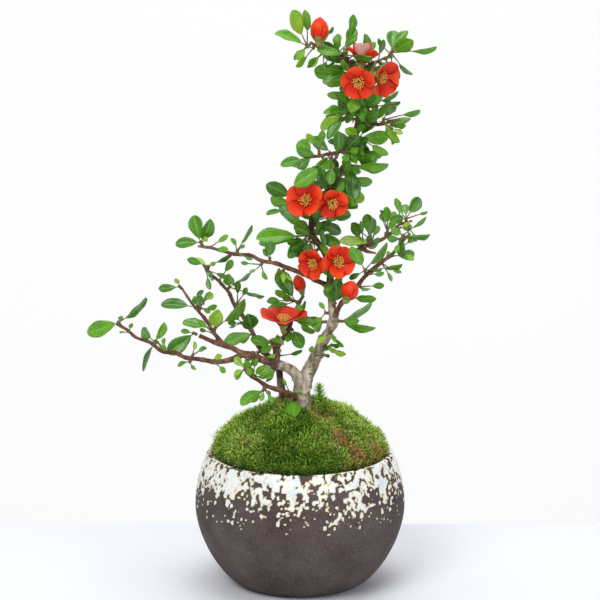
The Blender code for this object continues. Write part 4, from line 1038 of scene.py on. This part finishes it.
def make_tufts(leaf_green, stalk_green):
    """The CAD model's tufts, each on a spur at the step where the CAD node has its own."""
    for name, branch, station, (heading, length, lean), leaves in TUFTS:
        node = f"leaves_{name}"
        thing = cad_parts[node]
        tree, tips = tree_of(thing), np.array(mesh_points(thing))
        way = direction(heading, lean)
        point, thickness = branch_point(branch, station)
        starts = [point + way * (thickness + GAP + 0.1 + 0.25 * step) for step in range(12)]
        start = min(starts, key=lambda place: tree.find_nearest(place)[3])
        hub = start + way * length
        blades, stalks = Builder(), Builder()
        add_spur(stalks, start, hub, way)
        for row in leaves:
            add_leaf(blades, stalks, hub, matching_row(hub, row, tips))
        blades.make(f"blades_{name}", leaf_green, "leaf", node)
        stalks.make(f"stalks_{name}", stalk_green, "leaf")


class SmallLeaves:
    """Leaves beyond the CAD tufts, which touch nothing built so far."""

    def __init__(self):
        solid = ("wood", "petals_", "stamens_", "blades_", "calyx_")
        self.trees = [tree_of(thing) for thing in bpy.data.objects
                      if thing.type == "MESH" and thing.name.startswith(solid)]
        self.low, self.high = (np.array(corner) / MM for corner in cad_box)
        self.blades, self.stalks = Builder(), Builder()

    def grow(self, hub, rows, shade=None):
        """Adds the first of the leaves that is clear, if one is."""
        for row in rows:
            blade, petiole = Builder(), Builder()
            add_leaf(blade, petiole, hub, row, shade)
            points = np.concatenate(blade.points)
            if (points < self.low + 0.5).any() or (points > self.high - 0.5).any():
                continue
            tree = BVHTree.FromPolygons([Vector(p) for p in points], blade.faces)
            if not any(tree.overlap(other) for other in self.trees):
                self.trees.append(tree)
                self.blades.join(blade)
                self.stalks.join(petiole)
                return

    def spur(self, branch, station, way, length):
        """A spur on the wood. Gives the place that its leaves grow from."""
        point, thickness = branch_point(branch, station)
        hub = point + way * (thickness + length)
        add_spur(self.stalks, point + way * (thickness + 0.3), hub, way)
        return hub


def make_small_leaves(leaf_green, stalk_green):
    own = np.random.default_rng(21)
    small = SmallLeaves()
    for branch, station, (heading, length, lean), shade, leaves in PLACED_LEAVES:
        hub = small.spur(branch, station, direction(heading, lean), length)
        for row in leaves:
            small.grow(hub, [turned(row, turn) for turn in TURNS], shade)
    for branch, first, last, count, lengths in SMALL_LEAVES:
        for i in range(count):
            station = first + (last - first) * (i + own.uniform(0.1, 0.9)) / count
            way = direction(own.uniform(0.0, 360.0), own.uniform(-70.0, 70.0))
            hub = small.spur(branch, station, way, 1.1)
            for _ in range(own.integers(2, 4)):
                rows = []
                for _ in range(14):
                    length = own.uniform(*lengths)
                    heading = math.degrees(math.atan2(way.z, way.x)) + own.uniform(-75.0, 75.0)
                    lean = math.degrees(math.asin(-way.y)) * 0.5 + own.uniform(-50.0, 50.0)
                    rows.append((heading, length + own.uniform(2.0, 7.0), length,
                                 length * own.uniform(0.5, 0.66), lean, own.uniform(-45.0, 45.0)))
                small.grow(hub, rows)
    small.blades.make("small_blades", leaf_green, "leaf")
    small.stalks.make("small_stalks", stalk_green, "leaf")


# ---------------------------------------------------------------- flowers and buds

FORWARD_STEPS = (0.0, 1.0, 2.0, 3.0, 4.0, 5.0, 6.0, 7.0, 8.0, -2.0, -4.0, 9.0, 10.0, 12.0, 14.0)


def matching_place(node, place, tip):
    """The place, brought forward by the step at which its tip is a point of the CAD node."""
    marks = np.array(mesh_points(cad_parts[node]))
    return min([place + step * FORWARD for step in FORWARD_STEPS], key=lambda spot: miss(marks, spot + tip))


def petal_half(t):
    """The petal's half width as a share of its widest: a narrow claw, then almost round."""
    widest = 0.60
    low = np.sqrt(np.clip(1.0 - ((widest - t) / 0.66) ** 2, 0.0, 1.0))
    high = np.sqrt(np.clip(1.0 - ((t - widest) / (1.0 - widest)) ** 2, 0.0, 1.0))
    return np.where(t < widest, low, high) * (0.30 + 0.70 * np.clip(t / 0.22, 0.0, 1.0))


def add_petal(skin, centre, facing, outward, length, depth, pale, twist):
    side = np.array(Matrix.Rotation(twist, 3, outward) @ facing.cross(outward))
    outward, facing, centre = np.array(outward), np.array(facing), np.array(centre)
    phase = rng.uniform(0.0, 6.0)
    ruffle = rng.uniform(0.02, 0.05)
    roll = rng.uniform(-0.10, 0.16)

    def middle(t):
        rise = depth * math.sin(0.5 * math.pi * min(t, 1.0)) + 0.05 * length * t ** 3
        rolled = roll * length * max(0.0, t - 0.55) ** 2 * 2
        return centre + outward * (0.8 + length * t) + facing * (rise - rolled)

    def bend(at, v):
        wave = np.sin(at * 6.0 + phase + 2.3 * v) + 0.5 * np.sin(v * 7.0 + phase)
        return ruffle * length * wave * at ** 2 * np.abs(v)

    widths = 0.60 * length * petal_half(np.linspace(0.0, 1.0, ALONG))
    widths[-1] = 0.25
    rings, values = blade_rings(middle, side, facing, widths, PETAL_THICK, 0.34, bend)
    skin.loft(rings, blade=values, tint=np.full(rings.shape[:2], rng.uniform(0.1, 0.9)),
              pale=pale * np.sqrt(values[..., 1]) * (1.0 - np.abs(values[..., 0]) ** 4))


def add_cup(green, path, radii, sides, pale_end):
    """A stalk that widens into a cup, reddish at its foot and greener towards the flower."""
    curve = smooth_path([(*spot, radius) for spot, radius in zip(path, radii)], 0.4)
    flush = np.repeat(np.linspace(0.9, pale_end, len(curve))[:, None], sides, 1)
    green.loft(tube_rings(curve[:, :3], curve[:, 3], sides), tint=flush)


def make_flower(row, looks):
    name, branch, station, offset, way, length, depth, spin = row
    petal_red, calyx_green, yellow = looks
    facing = direction(*way)
    foot, thickness = branch_point(branch, station)
    centre = matching_place(f"flower_{name}_stamens", foot + Vector(offset), facing * 4.6)
    across = facing.orthogonal().normalized()
    petals = Builder()
    turns = [math.radians(spin) + math.tau * i / PETALS for i in range(PETALS)]
    front = max(turns, key=lambda turn: -(Matrix.Rotation(turn, 3, facing) @ across).y)
    for i, turn in enumerate(turns):
        # The front petal of the flower seen from behind is whitened: partly its back's paler tone, partly
        # painted light.
        pale = 0.95 if name == "top_back" and turn == front else 0.0
        lift = 1.0 + rng.uniform(-0.16, 0.16) + 0.6 * pale
        outward = Matrix.Rotation(turn + rng.uniform(-0.06, 0.06), 3, facing) @ across
        add_petal(petals, centre + facing * (0.12 * (i % 2)), facing, outward, length, depth * lift, pale,
                  0.16 * (1 if i % 2 else -1))
    petals.make(f"petals_{name}", petal_red, "petal", f"flower_{name}_petals")
    make_calyx(name, foot, thickness, centre, facing, across, spin, calyx_green)
    make_stamens(name, centre, facing, across, length, depth, yellow)


def make_calyx(name, foot, thickness, centre, facing, across, spin, look):
    """Stalk, cup and sepals."""
    green = Builder()
    start = foot + (centre - foot).normalized() * (thickness - 0.3)
    neck = centre - facing * 4.5 + (start - centre) * 0.15
    path = [start, neck, centre - facing * 1.8, centre - facing * 0.3]
    add_cup(green, path, (0.75, 0.95, 1.9, 2.25), 14, 0.2)
    widths = 1.25 * np.sin(math.pi * (0.18 + 0.82 * np.linspace(0.0, 1.0, 8))) ** 0.7 + 0.05
    base = np.array(centre - facing * 0.9)
    for i in range(PETALS):
        outward = Matrix.Rotation(math.radians(spin + 36) + math.tau * i / PETALS, 3, facing) @ across
        side, out, up = np.array(facing.cross(outward)), np.array(outward), np.array(facing)
        rings, _ = blade_rings(lambda at: base + out * (1.5 + 1.9 * at) + up * (0.1 + 1.0 * at ** 2),
                               side, up, widths, 0.4, 0.1)
        green.loft(rings, tint=0.35)
    green.make(f"calyx_{name}", look, "petal")


def make_stamens(name, centre, facing, across, length, depth, look):
    """A ring of filaments with anthers, the outer ones spread wider."""
    threads = Builder()
    up = np.array(facing)
    for i in range(STAMENS):
        share = math.sqrt((i + 0.5) / STAMENS)
        out = np.array(Matrix.Rotation(i * GOLDEN_TURN, 3, facing) @ across)
        root = np.array(centre) + up * 0.5 + out * (0.5 + 0.8 * share)
        spread = 0.24 * length * share * rng.uniform(0.75, 1.25)
        rise = (0.36 - 0.10 * share) * length * rng.uniform(0.85, 1.12) + 0.12 * depth
        spots = [root + out * spread * s ** 1.4 + up * rise * s for s in np.linspace(0, 1, 6)]
        threads.loft(tube_rings(spots, 0.13, 6), tint=0.0)
        way = up * 0.9 + out * rng.uniform(-0.8, 0.8) + np.cross(up, out) * rng.uniform(-0.8, 0.8)
        way /= np.linalg.norm(way)
        pod = [spots[-1] + way * step for step in (-0.36, -0.22, 0.0, 0.22, 0.36)]
        threads.loft(tube_rings(pod, (0.10, 0.26, 0.32, 0.26, 0.10), 8), tint=1.0)
    threads.make(f"stamens_{name}", look, "stamen", f"flower_{name}_stamens")


class BudBody:
    """The closed petals' egg shape, from its base along one axis."""

    def __init__(self, base, pointing, length, radius):
        self.base, self.up = np.array(base), np.array(pointing)
        self.across = np.array(pointing.orthogonal().normalized())
        self.other = np.cross(self.up, self.across)
        self.length, self.radius = length, radius
        self.steps = np.linspace(0.0, 1.0, 30)
        self.body = np.clip(np.sin(math.pi * (0.14 + 0.86 * self.steps) ** 0.95), 0.0, 1.0) ** 0.72

    def swell(self, at):
        return float(np.interp(at, self.steps, self.body)) * self.radius

    def out(self, turns):
        return around(turns, self.across, self.other)

    def core(self, wraps):
        """The inner petals, folded round each other."""
        rows, sides = len(self.steps), 48
        turns = np.arange(sides) * math.tau / sides
        rings = []
        for at, swell in zip(self.steps, self.body):
            fold = 1.0 + 0.055 * np.abs(np.sin(2.5 * (turns + 1.5 * at))) ** 0.6 * (0.3 + at) - 0.05
            spread = self.radius * 0.93 * swell * fold
            rings.append(self.base + self.up * (self.length * at * 0.985) + spread[:, None] * self.out(turns))
        values = np.stack([np.repeat(np.sin(2.5 * turns)[None], rows, 0),
                           np.repeat(self.steps[:, None], sides, 1), np.zeros((rows, sides))], -1)
        wraps.loft(rings, blade=values, tint=0.35, pale=0.0)

    def wrap(self, wraps, i):
        """One of the outer petals, each a little lower than the last."""
        low, high = 0.06, 0.90 - 0.06 * i
        v = np.linspace(-1.0, 1.0, 9)
        rings, values = [], []
        for at in np.linspace(low, high, 20):
            share = (at - low) / (high - low)
            arc = 1.15 * (math.sin(math.pi * min(1.0, 0.12 + 0.88 * share)) ** 0.5 if share < 0.995 else 0.05)
            out = self.out(math.tau * i / 3 + 0.4 + 1.4 * at + v * arc)
            middle, swell = self.base + self.up * (self.length * at), self.swell(at)
            rings.append(both_faces(middle + out * (swell * (0.97 + 0.03 * np.abs(v)) + 0.10)[:, None],
                                    middle + out * (swell * 0.93 - 0.1)))
            values.append(blade_values(v, share))
        wraps.loft(rings, blade=np.array(values), tint=0.3 + 0.25 * i, pale=0.0)

    def sepal(self, green, i):
        out = self.out(np.array([math.tau * i / PETALS]))[0]
        widths = 0.42 * self.radius * np.sin(math.pi * (0.25 + 0.75 * np.linspace(0.0, 1.0, 9))) ** 0.8 + 0.04

        def middle(t):
            at = 0.02 + 0.26 * t
            return self.base + self.up * (self.length * at) + out * (self.swell(at) + 0.12)

        rings, _ = blade_rings(middle, np.cross(self.up, out), out, widths, 0.35, -0.22)
        green.loft(rings, tint=0.5)


def make_bud(row, looks):
    """Petals still wrapped round each other, on a cup and a short stalk."""
    name, branch, station, offset, way, length, radius = row
    petal_red, calyx_green, _ = looks
    pointing = direction(*way)
    foot, thickness = branch_point(branch, station)
    base = matching_place(f"bud_{name}", foot + Vector(offset), pointing * length)
    body = BudBody(base, pointing, length, radius)
    wraps = Builder()
    body.core(wraps)
    for i in range(3):
        body.wrap(wraps, i)
    wraps.make(f"petals_bud_{name}", petal_red, "bud", f"bud_{name}")
    green = Builder()
    start = foot + (base - foot).normalized() * (thickness - 0.3)
    size = 0.55 * radius
    add_cup(green, [start, base - pointing * 2.2, base - pointing * 0.6, base + pointing * 0.08 * length],
            (0.75, 0.55 * size + 0.4, size, 0.74 * radius), 16, 0.15)
    for i in range(PETALS):
        body.sepal(green, i)
    green.make(f"calyx_bud_{name}", calyx_green, "bud")


# ---------------------------------------------------------------- moss, sprout and what lies inside

LEAFLET_FACES = ((0, 1, 3), (0, 3, 2), (0, 2, 1), (4, 3, 1), (4, 2, 3), (4, 1, 2))

# Dry patches in the moss: x, y, size and the share of shoots that are brown.
DRY_SPOTS = ((21.0, -26.0, 4.5, 0.9), (29.0, -31.0, 4.5, 0.9), (38.0, -20.0, 5.5, 0.8),
             (11.0, -9.0, 6.0, 0.85), (41.0, -2.0, 4.0, 0.4), (-30.0, -24.0, 5.0, 0.2),
             (0.0, 0.0, 46.0, 0.015))


def dryness(x, y):
    wander = 1.0 + 0.8 * noise.noise(Vector((x, y, 1.0)) * 0.35)
    return min(0.95, sum(share * math.exp(-((x - a) ** 2 + (y - b) ** 2) / (size * wander) ** 2)
                         for a, b, size, share in DRY_SPOTS))


def hummock(x, y):
    """How much the moss swells here, from small clumps to broad ones."""
    return (0.7 * noise.noise(Vector((x, y, 3.0)) * 0.26) + 0.5 * noise.noise(Vector((x, y, 8.0)) * 0.6)
            + 0.6 * noise.noise(Vector((x, y, 5.0)) * 0.09))


def shoot_template(leaflets, seed):
    """One moss shoot a unit high, pointed leaflets round a stem, as points, faces and tip values."""
    own = np.random.default_rng(seed)
    points, faces, tips = [], [], []
    for i in range(leaflets):
        height = 0.15 + 0.75 * i / leaflets
        turn = i * 2.4 + own.uniform(-0.4, 0.4)
        out, side = level(turn), np.array((-math.sin(turn), math.cos(turn), 0.0))
        reach = 0.52 * (1.15 - 0.6 * height) * own.uniform(0.7, 1.3)
        root = np.array((0.0, 0.0, height - 0.12))
        tip = root + out * reach + np.array((0.0, 0.0, 0.28 + 0.28 * height))
        mid = 0.45 * root + 0.55 * tip + out * 0.06
        faces += [tuple(len(points) + n for n in face) for face in LEAFLET_FACES]
        points += [root, mid + side * 0.05, mid - side * 0.05, mid + out * 0.03 - (0, 0, 0.04), tip]
        tips += [0.1 * height, 0.35 + 0.3 * height, 0.35 + 0.3 * height, 0.2, 0.75 + 0.25 * height]
    return np.array(points), np.array(faces), np.array(tips)


def moss_feet(edge, cushion):
    """Where the shoots stand on the cushion, clear of the wood: number, x, y, height and normal."""
    wood = tree_of(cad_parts["trunk_and_branches"])
    row_step = 0.87 * SHOOT_SPACING
    reach = int(edge / SHOOT_SPACING / 0.87) + 1
    spots = []
    for i in range(-reach, reach + 1):
        for j in range(-reach, reach + 1):
            x = (i + 0.5 * (j % 2)) * SHOOT_SPACING + rng.uniform(-0.35, 0.35)
            y = j * row_step + rng.uniform(-0.35, 0.35)
            if math.hypot(x, y) < edge:
                spots.append((x, y))
    feet = []
    for n, (x, y) in enumerate(spots):
        hit, normal, _, _ = cushion.ray_cast(Vector((x, y, RIM + 60.0)), DOWN)
        if hit is not None and wood.find_nearest(Vector((x, y, hit.z)), 0.6)[0] is None:
            feet.append((n, x, y, hit.z, normal))
    return feet


def moss_shoot(templates, edge, x, y, z, normal):
    """One shoot in its place: its points, faces and the three values of its material."""
    shape, sides, tips = templates[rng.integers(len(templates))]
    clump = hummock(x, y)
    height = 4.4 + 2.6 * clump + rng.uniform(-1.0, 1.2)
    width = rng.uniform(4.6, 6.4)
    size = min(1.0, 0.62 + (edge - math.hypot(x, y)) / 9.0)
    size *= 1.0 - 0.65 * math.exp(-((x - 12.0) ** 2 + (y + 9.0) ** 2) / 22.0)
    lean = normal * 0.9 + Vector((rng.uniform(-0.55, 0.55), rng.uniform(-0.55, 0.55), 0.7))
    turn = (-DOWN).rotation_difference(lean).to_matrix() @ Matrix.Rotation(rng.uniform(0.0, 6.28), 3, "Z")
    body = (shape * (width, width, max(height, 1.2)) * size) @ np.array(turn).T
    # Painted shade darkens the front middle of the moss, and painted light lifts it towards the left and
    # right sides; it is also lighter on taller hummocks and varies at random from shoot to shoot.
    shade = 0.24 * math.exp(-((x + 4.0) / 18.0) ** 2 - ((y + 26.0) / 20.0) ** 2)
    light = 0.56 + 0.42 * clump + 0.22 * abs(x / 46.0) - shade + rng.uniform(-0.36, 0.36)
    dry = 1.0 if rng.random() < dryness(x, y) else 0.0
    values = np.stack([np.full(len(body), light), tips, np.full(len(body), dry)], -1)
    return body + np.array((x, y, z - SHOOT_ROOT * size)), sides, values


def make_moss():
    """Thousands of small shoots over the mound in three batches, in soft hummocks, and the bed below them."""
    cushion = tree_of(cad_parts["moss_cushion"])
    edge = LIP_MIDDLE + LIP - WALL - 0.2
    look = moss_look()
    templates = [shoot_template(10, seed) for seed in range(MOSS_TEMPLATES)]
    feet = moss_feet(edge, cushion)
    for part in range(3):
        points, faces, values, count = [], [], [], 0
        for n, *foot in feet:
            if n % 3 != part:
                continue
            body, sides, tone = moss_shoot(templates, edge, *foot)
            points.append(body)
            faces.append(sides + count)
            values.append(tone)
            count += len(body)
        piece(f"moss_shoots_{part}", np.concatenate(points), np.concatenate(faces), look,
              "moss_cushion" if part == 0 else None, {"moss": np.concatenate(values)})
    make_moss_bed(cushion, edge, look)


def make_moss_bed(cushion, edge, look):
    """The dark matted bed that the shoots stand in, a closed skin over the mound."""
    turns = [math.tau * k / 160 for k in range(160)]
    bed = Builder()
    rings, values = [], []
    for n, share in enumerate(np.concatenate([[0.97, 0.999], np.linspace(1.0, 0.01, 90)])):
        places = [(edge * share * math.cos(turn), edge * share * math.sin(turn)) for turn in turns]
        values.append([(0.25, 0.10, 0.8 * dryness(x, y)) for x, y in places])
        if n < 2:
            rings.append([(x, y, RIM - 3.6) for x, y in places])
            continue
        ring = []
        for x, y in places:
            hit = cushion.ray_cast(Vector((x * 0.995, y * 0.995, RIM + 60.0)), DOWN)[0]
            z = (hit.z if hit else RIM - 2.0) - 0.7
            ring.append((x, y, z + 0.6 * noise.noise(Vector((x, y, 0.0)) * 0.9)))
        rings.append(ring)
    bed.loft(rings, moss=np.array(values))
    bed.make("moss_bed", look, "moss")


def make_sprout(look):
    """The young upright shoot in the moss: a stem with soft needles all the way up."""
    low, high = (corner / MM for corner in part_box("moss_sprout"))
    middle = 0.5 * (low + high)
    foot, top = Vector((middle.x + 0.4, middle.y, low.z)), Vector((middle.x - 0.4, middle.y, high.z))
    needles = Builder()
    stem = smooth_path([tuple(foot.lerp(top, share) + Vector((0.3 * math.sin(4 * share), 0, 0)))
                        for share in (0, 0.35, 0.7, 0.93)], 0.5)
    needles.loft(tube_rings(stem, np.linspace(0.5, 0.18, len(stem)), 8), tint=0.5)
    for i in range(NEEDLES):
        share = 0.05 + 0.93 * i / NEEDLES
        root = np.array(foot.lerp(top, share * 0.93))
        out = level(i * 2.399)
        reach = (4.6 * math.sin(math.pi * (0.30 + 0.62 * share)) + 0.3) * rng.uniform(0.7, 1.1)
        rise = reach * (0.25 + 0.8 * share)
        spots = [root + out * along * reach + (0, 0, up * rise)
                 for along, up in ((0, 0), (0.5, 0.35), (0.92, 0.8))]
        needles.loft(tube_rings(spots, (0.36, 0.28, 0.05), 5), tint=rng.uniform(0.0, 0.3))
    needles.make("sprout_needles", look, "sprout", "moss_sprout")


def dress_inside():
    """The CAD pieces inside the pot keep their shape and get their real surfaces."""
    for node, *look in (
            ("drainage_net", "net_black", (0.012, 0.012, 0.013), (0.03, 0.03, 0.032), 900.0, 0.5, 0.00005),
            ("drainage_gravel", "pumice", (0.28, 0.22, 0.15), (0.62, 0.54, 0.42), 260.0, 0.9, 0.0012),
            ("soil", "dark_soil", (0.018, 0.011, 0.007), (0.09, 0.058, 0.035), 420.0, 0.95, 0.0008)):
        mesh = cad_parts[node].data
        mesh.materials.clear()
        mesh.materials.append(plain_look(*look))


# ---------------------------------------------------------------- studio, in metres

TABLE_EDGE = 0.10
WALL_AT = 2.6


def sheet(name, corners, colour, roughness, glow):
    """A flat part of the studio, which isn't part of the object."""
    mesh = mesh_of(name, corners, [(0, 1, 2, 3)])
    look = bpy.data.materials.new(name)
    look.use_nodes = True
    inputs = look.node_tree.nodes["Principled BSDF"].inputs
    for key, value in (("Base Color", (*colour, 1.0)), ("Roughness", roughness), ("Specular IOR Level", 0.15),
                       ("Emission Color", (1.0, 1.0, 1.0, 1.0)), ("Emission Strength", glow)):
        inputs[key].default_value = value
    mesh.materials.append(look)
    add_object(name, mesh)


def lamp(name, place, target, size, power):
    light = bpy.data.lights.new(name, "AREA")
    light.size = size
    light.energy = power
    thing = add_object(name, light)
    thing.location = place
    thing.rotation_euler = (Vector(target) - Vector(place)).to_track_quat("-Z", "Y").to_euler()


def make_stage():
    """A pale table whose back edge is just behind the pot, a white backdrop, soft lights and the camera."""
    sheet("table", [(-3, -3, 0), (3, -3, 0), (3, TABLE_EDGE, 0), (-3, TABLE_EDGE, 0)],
          (0.74, 0.755, 0.80), 0.5, 0.0)
    sheet("backdrop", [(-6, WALL_AT, -3), (6, WALL_AT, -3), (6, WALL_AT, 6), (-6, WALL_AT, 6)],
          (0.93, 0.93, 0.93), 0.9, 0.52)
    lamp("key", (-0.6, -1.15, 1.25), (0, 0, 0.15), 0.8, 16.0)
    lamp("fill", (1.2, -1.1, 0.7), (0, 0, 0.15), 1.0, 7.5)
    lamp("top", (0.1, 0.1, 1.5), (0, 0, 0.1), 1.0, 12.0)
    world = bpy.data.worlds.new("studio")
    world.use_nodes = True
    sky = world.node_tree.nodes["Background"].inputs
    sky["Color"].default_value = (0.97, 0.98, 1.0, 1.0)
    sky["Strength"].default_value = 0.34
    bpy.context.scene.world = world
    bpy.context.scene.view_settings.view_transform = "Standard"
    lens = bpy.data.cameras.new("camera")
    lens.lens = 171.9
    lens.sensor_width = 36.0
    camera = add_object("camera", lens)
    camera.location = (0.0, -1.5, 0.4975)
    camera.rotation_euler = (math.radians(90.0 - 12.8), 0.0, 0.0)
    bpy.context.scene.camera = camera


make_stage()
dress_inside()
make_pot()
make_wood()
leaf_green = leaf_look()
stalk_green = green_look("stalk_green", (0.075, 0.14, 0.02), (0.16, 0.25, 0.05), (0.14, 0.05, 0.025), 0.8)
make_tufts(leaf_green, stalk_green)
flower_looks = (petal_look(),
                green_look("calyx_green", (0.16, 0.22, 0.035), (0.34, 0.40, 0.08), (0.22, 0.06, 0.02), 0.8),
                stamen_look())
for flower in FLOWERS:
    make_flower(flower, flower_looks)
for bud in BUDS:
    make_bud(bud, flower_looks)
make_small_leaves(leaf_green, stalk_green)
make_moss()
make_sprout(green_look("sprout_green", (0.12, 0.32, 0.016), (0.30, 0.56, 0.04), (0.20, 0.18, 0.03), 0.5))
